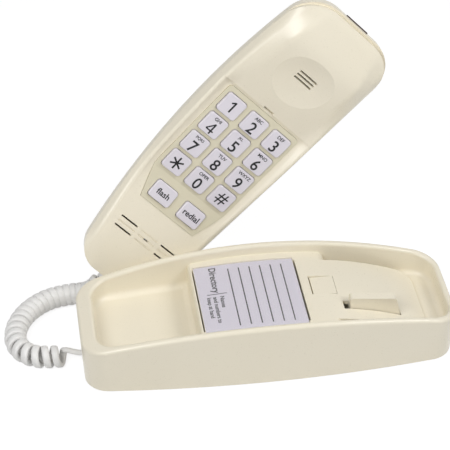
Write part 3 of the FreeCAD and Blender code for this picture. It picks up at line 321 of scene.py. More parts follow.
def cord_vinyl():
    # Extruded soft PVC: bright cool white, with a waxy sheen and faint draw lines
    def build(tree):
        tones = bpy.context.scene.phone_finish
        place = add_node(tree, "ShaderNodeTexCoord").outputs["Object"]
        streak = add_node(tree, "ShaderNodeTexNoise", {"Vector": place, "Scale": per_mm(2.5), "Detail": 3.0})
        tone = add_node(tree, "ShaderNodeMixRGB", {
            "Fac": streak.outputs["Fac"], "Color1": rgba(tones.cord_shade), "Color2": rgba(tones.cord)})
        skin = add_node(tree, "ShaderNodeMapRange", {
            "Value": streak.outputs["Fac"], "To Min": 0.38, "To Max": 0.5})
        bump = add_node(tree, "ShaderNodeBump", {
            "Height": streak.outputs["Fac"], "Strength": 0.3, "Distance": 0.05 * MM})
        return add_node(tree, "ShaderNodeBsdfPrincipled", {
            "Base Color": tone.outputs["Color"], "Roughness": skin.outputs["Result"], "IOR": 1.52,
            "Normal": bump.outputs["Normal"]})
    return finish_material("extruded_pvc_cord", build)


def zinc_steel():
    # Bright zinc-plated steel with fine turning marks
    def build(tree):
        place = add_node(tree, "ShaderNodeTexCoord").outputs["Object"]
        marks = add_node(tree, "ShaderNodeTexNoise", {"Vector": place, "Scale": per_mm(0.6), "Detail": 4.0})
        skin = add_node(tree, "ShaderNodeMapRange", {
            "Value": marks.outputs["Fac"], "To Min": 0.25, "To Max": 0.45})
        return add_node(tree, "ShaderNodeBsdfPrincipled", {
            "Base Color": rgba(linear("#b9bbbe")), "Metallic": 1.0, "Roughness": skin.outputs["Result"]})
    return finish_material("zinc_plated_steel", build)


def contact_gold():
    # Thin gold flash on spring wire: a warm, bright line with soft draw marks
    def build(tree):
        place = add_node(tree, "ShaderNodeTexCoord").outputs["Object"]
        marks = add_node(tree, "ShaderNodeTexNoise", {"Vector": place, "Scale": per_mm(0.8), "Detail": 2.0})
        skin = add_node(tree, "ShaderNodeMapRange", {
            "Value": marks.outputs["Fac"], "To Min": 0.18, "To Max": 0.32})
        return add_node(tree, "ShaderNodeBsdfPrincipled", {
            "Base Color": rgba(linear("#d9b25e")), "Metallic": 1.0, "Roughness": skin.outputs["Result"]})
    return finish_material("gold_flashed_wire", build)


# Finishes of the nodes that are neither ivory shell nor white key
NODE_FINISHES = {
    "keypad_plate": shaded_plate_finish,
    "rubber_feet": nitrile_rubber,
    "base_weight": zinc_steel,
    "hookswitch_pin": zinc_steel,
    "hookswitch_spring": zinc_steel,
    "microphone": zinc_steel,
    "base_board": phenolic_laminate,
    "handset_board": phenolic_laminate,
    "hookswitch_switch": black_nylon,
    "receiver": black_nylon,
    "key_mat": silicone_rubber,
    "base_cord_jack": socket_polyester,
    "line_jack": socket_polyester,
    "handset_cord_jack": socket_polyester,
    "base_cord_plug": plug_polycarbonate,
    "handset_cord_plug": plug_polycarbonate,
    "directory_card": card_stock,
    "card_window": window_sheet,
}


def link_mesh(name, mesh, material):
    """A mesh as an object at the origin, with one material."""
    obj = bpy.data.objects.new(name, mesh)
    bpy.context.scene.collection.objects.link(obj)
    mesh.materials.clear()
    mesh.materials.append(material)
    return obj


def evaluated_mesh(obj):
    """The final mesh of an object, modifiers included, as plain data."""
    depsgraph = bpy.context.evaluated_depsgraph_get()
    return bpy.data.meshes.new_from_object(obj.evaluated_get(depsgraph))


def merged(meshes, name):
    """Several meshes as one, with their normals pointing outwards."""
    form = bmesh.new()
    for mesh in meshes:
        form.from_mesh(mesh)
        bpy.data.meshes.remove(mesh)
    bmesh.ops.remove_doubles(form, verts=form.verts, dist=1e-7)
    bmesh.ops.recalc_face_normals(form, faces=form.faces)
    result = bpy.data.meshes.new(name)
    form.to_mesh(result)
    form.free()
    return result


def new_tree(name, inputs):
    """A geometry tree with named inputs, and the sockets that give their values."""
    tree = bpy.data.node_groups.new(name, "GeometryNodeTree")
    for label, kind in inputs.items():
        tree.interface.new_socket(label, in_out="INPUT", socket_type="NodeSocket" + kind)
    tree.interface.new_socket("Geometry", in_out="OUTPUT", socket_type="NodeSocketGeometry")
    return tree, add_node(tree, "NodeGroupInput").outputs


def end_tree(tree, geometry, material):
    """Give a tree's geometry its material and put it out."""
    coated = add_node(tree, "GeometryNodeSetMaterial", {"Geometry": geometry, "Material": material})
    add_node(tree, "NodeGroupOutput", {"Geometry": coated.outputs[0]})
    return tree


def grown(name, tree, values):
    """The mesh that a node tree grows from its named inputs."""
    holder = bpy.data.objects.new(name, bpy.data.meshes.new(name))
    bpy.context.scene.collection.objects.link(holder)
    modifier = holder.modifiers.new(name, "NODES")
    modifier.node_group = tree
    for item in tree.interface.items_tree:
        if item.in_out == "INPUT" and item.name in values:
            modifier[item.identifier] = values[item.name]
    mesh = evaluated_mesh(holder)
    holder.modifiers.remove(modifier)
    bpy.data.objects.remove(holder)
    return mesh


def words_mesh(words, height, weight, place, anchor=0.5):
    """Words as a thin closed slab that reads along place's X, with place at a share of their length."""
    curve = bpy.data.curves.new("words", "FONT")
    curve.body = words
    curve.size = 1.0
    curve.resolution_u = 5
    curve.offset = weight
    obj = bpy.data.objects.new("words", curve)
    bpy.context.scene.collection.objects.link(obj)
    curve.extrude = bpy.context.scene.phone_print.ink_depth / height / 2
    mesh = evaluated_mesh(obj)
    bpy.data.objects.remove(obj)
    bpy.data.curves.remove(curve)
    xs = [v.co.x for v in mesh.vertices]
    ys = [v.co.y for v in mesh.vertices]
    middle = Vector((min(xs) + anchor * (max(xs) - min(xs)), (min(ys) + max(ys)) / 2, 0))
    scale = height / (max(ys) - min(ys))
    mesh.transform(place @ Matrix.Scale(scale, 4) @ Matrix.Translation(-middle))
    return mesh


def bar_mesh(length, width, place):
    """One printed bar, centred on place and lying along its X."""
    depth = bpy.context.scene.phone_print.ink_depth
    form = bmesh.new()
    bmesh.ops.create_cube(form, size=1.0, matrix=place @ Matrix.Diagonal((length, width, depth, 1.0)))
    mesh = bpy.data.meshes.new("bar")
    form.to_mesh(mesh)
    form.free()
    return mesh


# Figure and letters of each digit key, in rows from the ear end
KEY_PRINT = [
    [("1", ""), ("2", "ABC"), ("3", "DEF")],
    [("4", "GHI"), ("5", "JKL"), ("6", "MNO")],
    [("7", "PQRS"), ("8", "TUV"), ("9", "WXYZ")],
    [("star", ""), ("0", "OPER"), ("hash", "")],
]

# Figures drawn as bars: middle across and up, turn in degrees, length and width, as shares of the height
DRAWN_FIGURES = {
    "1": ((0.09, 0, 90, 1.0, 0.15), (-0.07, 0.35, 38, 0.36, 0.13)),
    "4": ((0.13, 0, 90, 1.0, 0.14), (0, -0.2, 0, 0.72, 0.12), (-0.12, 0.14, 54, 0.86, 0.12)),
    "star": ((0, 0, 30, 1.0, 0.13), (0, 0, 90, 1.0, 0.13), (0, 0, 150, 1.0, 0.13)),
    "hash": ((0, -0.16, 0, 0.92, 0.11), (-0.17, 0, 90, 1.0, 0.11),
             (0, 0.16, 0, 0.92, 0.11), (0.17, 0, 90, 1.0, 0.11)),
}

# Figures that stand larger than the digits, or lean
FIGURE_SCALE = {"star": 1.15, "hash": 1.1}
FIGURE_LEAN = {"hash": 0.2}

# How far the strokes of the printed type are thickened, as shares of its size
DIGIT_WEIGHT = 0.012
LETTER_WEIGHT = 0.016
WORD_WEIGHT = 0.018
FACE_TURN = Matrix.Rotation(math.radians(-90), 4, "Z")


def key_place(x, y):
    """The print plane of a digit key: X reads to the right, Y points to the ear."""
    top = bpy.context.scene.phone_print.ink_depth / 2
    return HANDSET_PLACE @ Matrix.Translation((x * MM, y * MM, top)) @ FACE_TURN


def function_place(y):
    """The print plane of a function key, on the tilted lower facet."""
    top = bpy.context.scene.phone_print.ink_depth / 2
    along = (FUNCTION_KEY_X - PLATE_CREASE) / math.cos(math.radians(FUNCTION_TILT))
    crease = Matrix.Translation((PLATE_CREASE * MM, 0, PLATE_TOP * MM))
    tilt = Matrix.Rotation(math.radians(FUNCTION_TILT), 4, "Y")
    local = Matrix.Translation((along * MM, y * MM, -PLATE_TOP * MM + top))
    return HANDSET_PLACE @ crease @ tilt @ local @ FACE_TURN


def card_place(x, y, radius, centre):
    """The print plane at a place on the arched card."""
    height = centre + math.sqrt(radius ** 2 - x ** 2)
    return Matrix.Translation((x, y, height)) @ Matrix.Rotation(math.asin(x / radius), 4, "Y")


def drawn_figure(figure, place, height):
    """A figure made of printed bars."""
    size = height * FIGURE_SCALE.get(figure, 1.0)
    lean = Matrix.Identity(4)
    lean[0][1] = FIGURE_LEAN.get(figure, 0.0)
    bars = []
    for across, up, turn, length, width in DRAWN_FIGURES[figure]:
        middle = Matrix.Translation((across * size, up * size, 0))
        turned = Matrix.Rotation(math.radians(turn), 4, "Z")
        bars.append(bar_mesh(length * size, width * size, place @ lean @ middle @ turned))
    return bars


class PhoneFinish(bpy.types.PropertyGroup):
    """Colours of the phone's plastics, card and cord."""

    ivory: FloatVectorProperty(
        name="Ivory", description="Main tone of the shells", subtype="COLOR",
        default=linear("#ebe4d2"), min=0, max=1)
    ivory_shade: FloatVectorProperty(
        name="Ivory shade", description="Second tone of the shells", subtype="COLOR",
        default=linear("#e7dfca"), min=0, max=1)
    key: FloatVectorProperty(
        name="Key", description="Main tone of the keys", subtype="COLOR",
        default=linear("#dedae1"), min=0, max=1)
    key_shade: FloatVectorProperty(
        name="Key shade", description="Second tone of the keys", subtype="COLOR",
        default=linear("#d6d1da"), min=0, max=1)
    card: FloatVectorProperty(
        name="Card", description="Main tone of the card", subtype="COLOR",
        default=linear("#d6d2dc"), min=0, max=1)
    card_shade: FloatVectorProperty(
        name="Card shade", description="Fibre tone of the card", subtype="COLOR",
        default=linear("#cdc8d4"), min=0, max=1)
    cord: FloatVectorProperty(
        name="Cord", description="Main tone of the cord", subtype="COLOR",
        default=linear("#ecebe9"), min=0, max=1)
    cord_shade: FloatVectorProperty(
        name="Cord shade", description="Second tone of the cord", subtype="COLOR",
        default=linear("#e2e1df"), min=0, max=1)


class PhonePrint(bpy.types.PropertyGroup):
    """Sizes of the printing on keys and card, and of the small lens."""

    ink_depth: FloatProperty(
        name="Ink depth", description="Thickness of the printed film", unit="LENGTH",
        default=0.06 * MM, min=0.0, max=0.001)
    digit: FloatProperty(
        name="Digit height", description="Height of the digits", unit="LENGTH",
        default=7.2 * MM, min=0.001, max=0.012)
    digit_drop: FloatProperty(
        name="Digit drop", description="How far digits with letters sit below the middle", unit="LENGTH",
        default=1.9 * MM, min=0.0, max=0.005)
    letter: FloatProperty(
        name="Letter height", description="Height of the small letters", unit="LENGTH",
        default=2.1 * MM, min=0.0005, max=0.005)
    letter_rise: FloatProperty(
        name="Letter rise", description="How far the letters sit above the middle", unit="LENGTH",
        default=4.2 * MM, min=0.0, max=0.008)
    word: FloatProperty(
        name="Word height", description="Height of the function keys' words", unit="LENGTH",
        default=3.8 * MM, min=0.001, max=0.008)
    rule_count: IntProperty(
        name="Card rules", description="Number of ruled lines on the card",
        default=6, min=1, max=12)
    rule_pitch: FloatProperty(
        name="Rule pitch", description="Distance between the card's lines", unit="LENGTH",
        default=6.2 * MM, min=0.002, max=0.02)
    lens_proud: FloatProperty(
        name="Lens proud", description="How far the ear tip's lens stands out", unit="LENGTH",
        default=0.6 * MM, min=0.0, max=0.002)


class PhoneCord(bpy.types.PropertyGroup):
    """Sizes of the curly cord."""

    coil: FloatProperty(
        name="Coil diameter", description="Outside diameter of the turns", unit="LENGTH",
        default=13.0 * MM, min=0.006, max=0.03)
    strand_width: FloatProperty(
        name="Strand width", description="Width of the flat strand", unit="LENGTH",
        default=4.2 * MM, min=0.002, max=0.008)
    strand_thickness: FloatProperty(
        name="Strand thickness", description="Thickness of the flat strand", unit="LENGTH",
        default=3.1 * MM, min=0.001, max=0.008)
    tight_pitch: FloatProperty(
        name="Tight pitch", description="Pitch of the closed turns", unit="LENGTH",
        default=4.35 * MM, min=0.002, max=0.02)
    open_pitch: FloatProperty(
        name="Open pitch", description="Pitch of the stretched turns by the base", unit="LENGTH",
        default=5.5 * MM, min=0.002, max=0.03)


class PHONE_OT_finish_shells(bpy.types.Operator):
    """Give every moulded piece, key and inner piece its finish"""

    bl_idname = "phone.finish_shells"
    bl_label = "Finish shells and keys"

    def execute(self, context):
        for name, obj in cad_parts.items():
            if name in NODE_FINISHES:
                material = NODE_FINISHES[name]()
            elif name.startswith("key_"):
                material = key_abs()
            else:
                material = ivory_abs()
            obj.material_slots[0].material = material
        return {"FINISHED"}


class PHONE_OT_print_keys(bpy.types.Operator):
    """Print digits, letters and words on the keys"""

    bl_idname = "phone.print_keys"
    bl_label = "Print keys"

    def execute(self, context):
        sizes = context.scene.phone_print
        for row, keys in enumerate(KEY_PRINT):
            for column, (figure, letters) in enumerate(keys):
                up = (len(KEY_PRINT) - 1) / 2 - row
                left = (len(keys) - 1) / 2 - column
                place = key_place(up * KEY_ROW_PITCH, left * KEY_COLUMN_PITCH)
                self.print_key("key_" + figure, self.figure_meshes(figure, letters, place, sizes))
        for word, side in (("flash", 1), ("redial", -1)):
            place = function_place(side * FUNCTION_KEY_Y)
            self.print_key("key_" + word, [words_mesh(word, sizes.word, WORD_WEIGHT, place)])
        return {"FINISHED"}

    @staticmethod
    def figure_meshes(figure, letters, place, sizes):
        """A key's figure in the middle, or lower with its letters above it."""
        if not letters:
            return drawn_figure(figure, place, sizes.digit)
        low = place @ Matrix.Translation((0, -sizes.digit_drop, 0))
        high = place @ Matrix.Translation((0, sizes.letter_rise, 0))
        if figure in DRAWN_FIGURES:
            meshes = drawn_figure(figure, low, sizes.digit)
        else:
            meshes = [words_mesh(figure, sizes.digit, DIGIT_WEIGHT, low)]
        return meshes + [words_mesh(letters, sizes.letter, LETTER_WEIGHT, high)]

    @staticmethod
    def print_key(body, meshes):
        name = body + "_print"
        obj = link_mesh(name, merged(meshes, name), printing_ink())
        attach(obj, body)


def rule_tree():
    """Ruled lines on an arched card: bars repeated along X, each lifted onto the arch."""
    tree, given = new_tree("card_rules", {
        "Count": "Int", "Pitch": "Float", "Length": "Float", "Width": "Float", "Depth": "Float",
        "Start": "Float", "Radius": "Float", "Centre": "Float", "Ink": "Material"})
    step = add_node(tree, "ShaderNodeCombineXYZ", {"X": given["Pitch"]})
    start = add_node(tree, "ShaderNodeCombineXYZ", {"X": given["Start"]})
    line = add_node(tree, "GeometryNodeMeshLine", {
        "Count": given["Count"], "Start Location": start.outputs[0], "Offset": step.outputs[0]})
    size = add_node(tree, "ShaderNodeCombineXYZ", {
        "X": given["Width"], "Y": given["Length"], "Z": given["Depth"]})
    bar = add_node(tree, "GeometryNodeMeshCube", {"Size": size.outputs[0]})
    bars = add_node(tree, "GeometryNodeInstanceOnPoints", {
        "Points": line.outputs["Mesh"], "Instance": bar.outputs["Mesh"]})
    solid = add_node(tree, "GeometryNodeRealizeInstances", {"Geometry": bars.outputs[0]})
    place = add_node(tree, "GeometryNodeInputPosition")
    x = add_node(tree, "ShaderNodeSeparateXYZ", {"Vector": place.outputs[0]}).outputs["X"]
    x_squared = add_node(tree, "ShaderNodeMath", {0: x, 1: x}, operation="MULTIPLY")
    r_squared = add_node(tree, "ShaderNodeMath", {
        0: given["Radius"], 1: given["Radius"]}, operation="MULTIPLY")
    rest = add_node(tree, "ShaderNodeMath", {
        0: r_squared.outputs[0], 1: x_squared.outputs[0]}, operation="SUBTRACT")
    rise = add_node(tree, "ShaderNodeMath", {0: rest.outputs[0]}, operation="SQRT")
    height = add_node(tree, "ShaderNodeMath", {0: rise.outputs[0], 1: given["Centre"]}, operation="ADD")
    lift = add_node(tree, "ShaderNodeCombineXYZ", {"Z": height.outputs[0]})
    lifted = add_node(tree, "GeometryNodeSetPosition", {
        "Geometry": solid.outputs[0], "Offset": lift.outputs[0]})
    return end_tree(tree, lifted.outputs[0], given["Ink"])


# Plain words on the card: where they start, their height in millimetres and the weight of the strokes
CARD_HEADING = (
    ("Directory", -27.6, 27.4, 5.4, 0.024),
    ("Names", -24.4, 1.6, 2.6, 0.022),
    ("and numbers to", -28.3, 1.6, 2.6, 0.022),
    ("keep at hand", -32.2, 1.6, 3.3, 0.022),
)

# The line beside the heading: its middle, length and width
HEADING_RULE = (-27.0, 4.0, 11.4, 0.5)


class PHONE_OT_print_card(bpy.types.Operator):
    """Rule the directory card and print its plain headings"""

    bl_idname = "phone.print_card"
    bl_label = "Print card"

    def execute(self, context):
        sizes = context.scene.phone_print
        radius = (ARCH_RADIUS - CARD_DEPTH) * MM + sizes.ink_depth / 2
        centre = (ARCH_TOP - ARCH_RADIUS) * MM
        rules = grown("card_rules", rule_tree(), {
            "Count": sizes.rule_count, "Pitch": sizes.rule_pitch, "Length": RULE_LENGTH * MM,
            "Width": RULE_WIDTH * MM, "Depth": sizes.ink_depth, "Start": RULE_START * MM,
            "Radius": radius, "Centre": centre, "Ink": printing_ink()})
        obj = link_mesh("card_rules", rules, printing_ink())
        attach(obj, "base")
        heading = []
        for words, x, y, size, weight in CARD_HEADING:
            place = card_place(x * MM, y * MM, radius, centre) @ FACE_TURN
            heading.append(words_mesh(words, size * MM, weight, place, anchor=0.0))
        x, y, length, width = (value * MM for value in HEADING_RULE)
        heading.append(bar_mesh(length, width, card_place(x, y, radius, centre)))
        obj = link_mesh("card_heading", merged(heading, "card_heading"), printing_ink())
        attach(obj, "base")
        return {"FINISHED"}


def screw_tree():
    """Pan-head screws with a cross recess, one at each corner of a rectangle."""
    tree, given = new_tree("cover_screws", {
        "Spacing X": "Float", "Spacing Y": "Float", "Head radius": "Float", "Head height": "Float",
        "Recess": "Float", "Height": "Float", "Steel": "Material"})
    corners = add_node(tree, "GeometryNodeMeshGrid", {
        "Size X": given["Spacing X"], "Size Y": given["Spacing Y"], "Vertices X": 2, "Vertices Y": 2})
    head = add_node(tree, "GeometryNodeMeshCylinder", {
        "Vertices": 40, "Side Segments": 1, "Radius": given["Head radius"], "Depth": given["Head height"]})
    long_side = add_node(tree, "ShaderNodeMath", {
        0: given["Head radius"], 1: SCREW_CROSS_LENGTH}, operation="MULTIPLY")
    short_side = add_node(tree, "ShaderNodeMath", {
        0: given["Head radius"], 1: SCREW_CROSS_WIDTH}, operation="MULTIPLY")
    drop = add_node(tree, "ShaderNodeMath", {
        0: given["Recess"], 1: given["Head height"]}, operation="SUBTRACT")
    offset = add_node(tree, "ShaderNodeCombineXYZ", {"Z": drop.outputs[0]})
    crossed = head.outputs["Mesh"]
    for x, y in ((long_side, short_side), (short_side, long_side)):
        size = add_node(tree, "ShaderNodeCombineXYZ", {
            "X": x.outputs[0], "Y": y.outputs[0], "Z": given["Head height"]})
        bar = add_node(tree, "GeometryNodeMeshCube", {"Size": size.outputs[0]})
        sunk = add_node(tree, "GeometryNodeTransform", {
            "Geometry": bar.outputs["Mesh"], "Translation": offset.outputs[0]})
        crossed = add_node(tree, "GeometryNodeMeshBoolean", {
            "Mesh 1": crossed, "Mesh 2": sunk.outputs[0]}, operation="DIFFERENCE").outputs["Mesh"]
    screws = add_node(tree, "GeometryNodeInstanceOnPoints", {
        "Points": corners.outputs["Mesh"], "Instance": crossed})
    solid = add_node(tree, "GeometryNodeRealizeInstances", {"Geometry": screws.outputs[0]})
    lift = add_node(tree, "ShaderNodeCombineXYZ", {"Z": given["Height"]})
    lifted = add_node(tree, "GeometryNodeTransform", {
        "Geometry": solid.outputs[0], "Translation": lift.outputs[0]})
    return end_tree(tree, lifted.outputs[0], given["Steel"])


class PHONE_OT_fit_screws(bpy.types.Operator):
    """Put the four cover screws in the bottom cover"""

    bl_idname = "phone.fit_screws"
    bl_label = "Fit cover screws"

    def execute(self, context):
        screws = grown("cover_screws", screw_tree(), {
            "Spacing X": SCREW_SPACING_X * MM, "Spacing Y": SCREW_SPACING_Y * MM,
            "Head radius": SCREW_HEAD_RADIUS * MM, "Head height": SCREW_HEAD_HEIGHT * MM,
            "Recess": SCREW_RECESS * MM, "Height": SCREW_Z * MM, "Steel": zinc_steel()})
        obj = link_mesh("cover_screws", screws, zinc_steel())
        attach(obj, "base")
        return {"FINISHED"}


def contact_tree():
    """Spring contacts of a modular socket: slanted wires side by side."""
    tree, given = new_tree("socket_contacts", {
        "Count": "Int", "Pitch": "Float", "Length": "Float", "Radius": "Float", "Slant": "Float",
        "Place": "Vector", "Gold": "Material"})
    step = add_node(tree, "ShaderNodeCombineXYZ", {"Y": given["Pitch"]})
    line = add_node(tree, "GeometryNodeMeshLine", {"Count": given["Count"], "Offset": step.outputs[0]})
    wire = add_node(tree, "GeometryNodeMeshCylinder", {
        "Vertices": 12, "Radius": given["Radius"], "Depth": given["Length"]})
    slant = add_node(tree, "ShaderNodeCombineXYZ", {"Y": given["Slant"]})
    wires = add_node(tree, "GeometryNodeInstanceOnPoints", {
        "Points": line.outputs["Mesh"], "Instance": wire.outputs["Mesh"], "Rotation": slant.outputs[0]})
    solid = add_node(tree, "GeometryNodeRealizeInstances", {"Geometry": wires.outputs[0]})
    moved = add_node(tree, "GeometryNodeTransform", {
        "Geometry": solid.outputs[0], "Translation": given["Place"]})
    return end_tree(tree, moved.outputs[0], given["Gold"])


class PHONE_OT_fit_contacts(bpy.types.Operator):
    """Put the gold spring contacts in the line socket"""

    bl_idname = "phone.fit_contacts"
    bl_label = "Fit socket contacts"

    def execute(self, context):
        low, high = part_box("line_jack")
        pitch = CONTACT_PITCH * MM
        first = -pitch * (CONTACT_COUNT - 1) / 2
        wires = grown("socket_contacts", contact_tree(), {
            "Count": CONTACT_COUNT, "Pitch": pitch, "Length": CONTACT_LENGTH * MM,
            "Radius": CONTACT_RADIUS * MM, "Slant": math.radians(CONTACT_SLANT),
            "Place": (high.x - CONTACT_SETBACK * MM, first, high.z - CONTACT_DROP * MM),
            "Gold": contact_gold()})
        obj = link_mesh("socket_contacts", wires, contact_gold())
        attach(obj, "base")
        return {"FINISHED"}


class PHONE_OT_fit_lens(bpy.types.Operator):
    """Put the tinted lens in the ear tip, with a rounded face that stands a little proud"""

    bl_idname = "phone.fit_lens"
    bl_label = "Fit lens"

    def execute(self, context):
        proud = context.scene.phone_print.lens_proud
        length = LENS_DEPTH * MM + proud
        size = Matrix.Diagonal((length, LENS_WIDTH * MM, LENS_HEIGHT * MM, 1.0))
        middle = Matrix.Translation((EAR_TIP * MM + proud - length / 2, 0, LENS_Z * MM))
        form = bmesh.new()
        bmesh.ops.create_cube(form, size=1.0, matrix=middle @ size)
        face = [e for e in form.edges if min(v.co.x for v in e.verts) > EAR_TIP * MM]
        bmesh.ops.bevel(form, geom=face, offset=LENS_EDGE * MM, segments=3, profile=0.5, affect="EDGES")
        form.transform(HANDSET_PLACE)
        mesh = bpy.data.meshes.new("tinted_lens")
        form.to_mesh(mesh)
        form.free()
        obj = link_mesh("tinted_lens", mesh, lens_acrylic())
        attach(obj, "handset")
        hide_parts("indicator_lens")
        return {"FINISHED"}


def route_points():
    """Points along the smooth spline of the cord's route, and the distance of each from its start."""
    curve = bpy.data.curves.new("cord_route", "CURVE")
    curve.dimensions = "3D"
    spline = curve.splines.new("NURBS")
    spline.points.add(len(CORD_ROUTE) - 1)
    for point, place in zip(spline.points, CORD_ROUTE):
        point.co = (place[0] * MM, place[1] * MM, place[2] * MM, 1.0)
    spline.order_u = 3
    spline.use_endpoint_u = True
    spline.resolution_u = 40
    obj = bpy.data.objects.new("cord_route", curve)
    bpy.context.scene.collection.objects.link(obj)
    mesh = evaluated_mesh(obj)
    points = [v.co.copy() for v in mesh.vertices]
    bpy.data.objects.remove(obj)
    bpy.data.curves.remove(curve)
    bpy.data.meshes.remove(mesh)
    reach = [0.0]
    for before, here in zip(points, points[1:]):
        reach.append(reach[-1] + (here - before).length)
    return points, reach


def smooth(share):
    """An even rise from 0 to 1 that starts and ends level."""
    share = max(0.0, min(1.0, share))
    return share * share * (3 - 2 * share)


def wound_strand(sizes):
    """The centre of the wound strand and its direction out of the coil, point by point."""
    points, reach = route_points()
    total = reach[-1]
    base_tail = BASE_TAIL * MM
    plain = base_tail * BASE_TAIL_PLAIN_SHARE
    handset_tail = HANDSET_TAIL * MM
    radius = (sizes.coil - sizes.strand_thickness) / 2
    strand = []
    phase = math.radians(FIRST_TURN)
    side = Vector((0, 0, 1))
    index = 0
    previous = 0.0
    for step in range(STRAND_STEPS + 1):
        s = total * step / STRAND_STEPS
        while index < len(reach) - 2 and reach[index + 1] < s:
            index += 1
        share = (s - reach[index]) / (reach[index + 1] - reach[index])
        centre = points[index].lerp(points[index + 1], share)
        along = (points[index + 1] - points[index]).normalized()
        side = (side - along * side.dot(along)).normalized()
        across = along.cross(side)
        opening = 1 - smooth((s - OPEN_STRETCH * MM) / (OPEN_FADE * MM))
        pitch = sizes.tight_pitch + (sizes.open_pitch - sizes.tight_pitch) * opening
        ending = smooth((total - s) / handset_tail)
        phase += 2 * math.pi * (s - previous) / pitch * smooth((s - plain) / (base_tail - plain)) * ending
        previous = s
        out = side * math.cos(phase) + across * math.sin(phase)
        strand.append((centre + out * radius * smooth(s / base_tail) * ending, out))
    return strand


def strand_section(sizes):
    """A rounded flat section: points across the strand's width and thickness."""
    section = []
    for k in range(SECTION_POINTS):
        angle = 2 * math.pi * k / SECTION_POINTS
        c = math.cos(angle)
        s = math.sin(angle)
        wide = math.copysign(abs(c) ** SECTION_ROUNDING, c) * sizes.strand_width / 2
        thick = math.copysign(abs(s) ** SECTION_ROUNDING, s) * sizes.strand_thickness / 2
        section.append((wide, thick))
    return section


class PHONE_OT_lay_cord(bpy.types.Operator):
    """Wind the curly cord along its route from the base to the handset"""

    bl_idname = "phone.lay_cord"
    bl_label = "Lay curly cord"

    def execute(self, context):
        sizes = context.scene.phone_cord
        strand = wound_strand(sizes)
        obj = link_mesh("curly_cord_strand", self.strand_mesh(strand, strand_section(sizes)), cord_vinyl())
        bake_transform(obj)
        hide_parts("curly_cord", "base_cord_tail", "handset_cord_tail")
        return {"FINISHED"}

    @staticmethod
    def strand_mesh(strand, section):
        """The section swept along the strand, with its flat side to the coil's axis and closed ends."""
        form = bmesh.new()
        rings = []
        for index, (centre, out) in enumerate(strand):
            before = strand[max(index - 1, 0)][0]
            after = strand[min(index + 1, len(strand) - 1)][0]
            along = (after - before).normalized()
            wide = along.cross(out).normalized()
            thick = wide.cross(along)
            rings.append([form.verts.new(centre + wide * w + thick * t) for w, t in section])
        for ring, following in zip(rings, rings[1:]):
            for k in range(len(section)):
                after = (k + 1) % len(section)
                form.faces.new((ring[k], ring[after], following[after], following[k]))
        form.faces.new(list(reversed(rings[0])))
        form.faces.new(rings[-1])
        bmesh.ops.recalc_face_normals(form, faces=form.faces)
        for face in form.faces:
            face.smooth = len(face.verts) == 4
        mesh = bpy.data.meshes.new("curly_cord_strand")
        form.to_mesh(mesh)
        form.free()
        return mesh


def in_sight(tree):
    """One for what the camera sees itself, in gloss or through glass, and zero for other light."""
    rays = add_node(tree, "ShaderNodeLightPath").outputs
    first = add_node(tree, "ShaderNodeMath", {
        0: rays["Is Camera Ray"], 1: rays["Is Glossy Ray"]}, operation="MAXIMUM")
    seen = add_node(tree, "ShaderNodeMath", {
        0: first.outputs[0], 1: rays["Is Transmission Ray"]}, operation="MAXIMUM")
    return seen.outputs[0]


def studio_world():
    """An even white room: a plain level of light, and white where the camera looks past the floor."""
    world = bpy.data.worlds.new("studio_room")
    world.use_nodes = True
    tree = world.node_tree
    tree.nodes.clear()
    room = add_node(tree, "ShaderNodeBackground", {"Color": (1, 1, 1, 1), "Strength": ROOM_LIGHT})
    white = add_node(tree, "ShaderNodeBackground", {"Color": (1, 1, 1, 1), "Strength": 1.0})
    both = add_node(tree, "ShaderNodeMixShader", {
        0: in_sight(tree), 1: room.outputs[0], 2: white.outputs[0]})
    add_node(tree, "ShaderNodeOutputWorld", {"Surface": both.outputs[0]})
    bpy.context.scene.world = world


def floor_paper():
    # White seamless paper: it glows white for the camera and keeps a share of the shadow
    def build(tree):
        place = add_node(tree, "ShaderNodeTexCoord").outputs["Object"]
        tooth = add_node(tree, "ShaderNodeTexNoise", {"Vector": place, "Scale": per_mm(4), "Detail": 2.0})
        tone = add_node(tree, "ShaderNodeMixRGB", {
            "Fac": tooth.outputs["Fac"], "Color1": rgba(linear("#dcdcdc")),
            "Color2": rgba(linear("#e0e0e0"))})
        paper = add_node(tree, "ShaderNodeBsdfDiffuse", {"Color": tone.outputs["Color"]})
        glow = add_node(tree, "ShaderNodeEmission", {"Color": (1, 1, 1, 1), "Strength": FLOOR_GLOW})
        share = add_node(tree, "ShaderNodeMath", {
            0: in_sight(tree), 1: FLOOR_GLOW_SHARE}, operation="MULTIPLY")
        return add_node(tree, "ShaderNodeMixShader", {
            0: share.outputs[0], 1: paper.outputs[0], 2: glow.outputs[0]})
    return finish_material("white_seamless_paper", build)


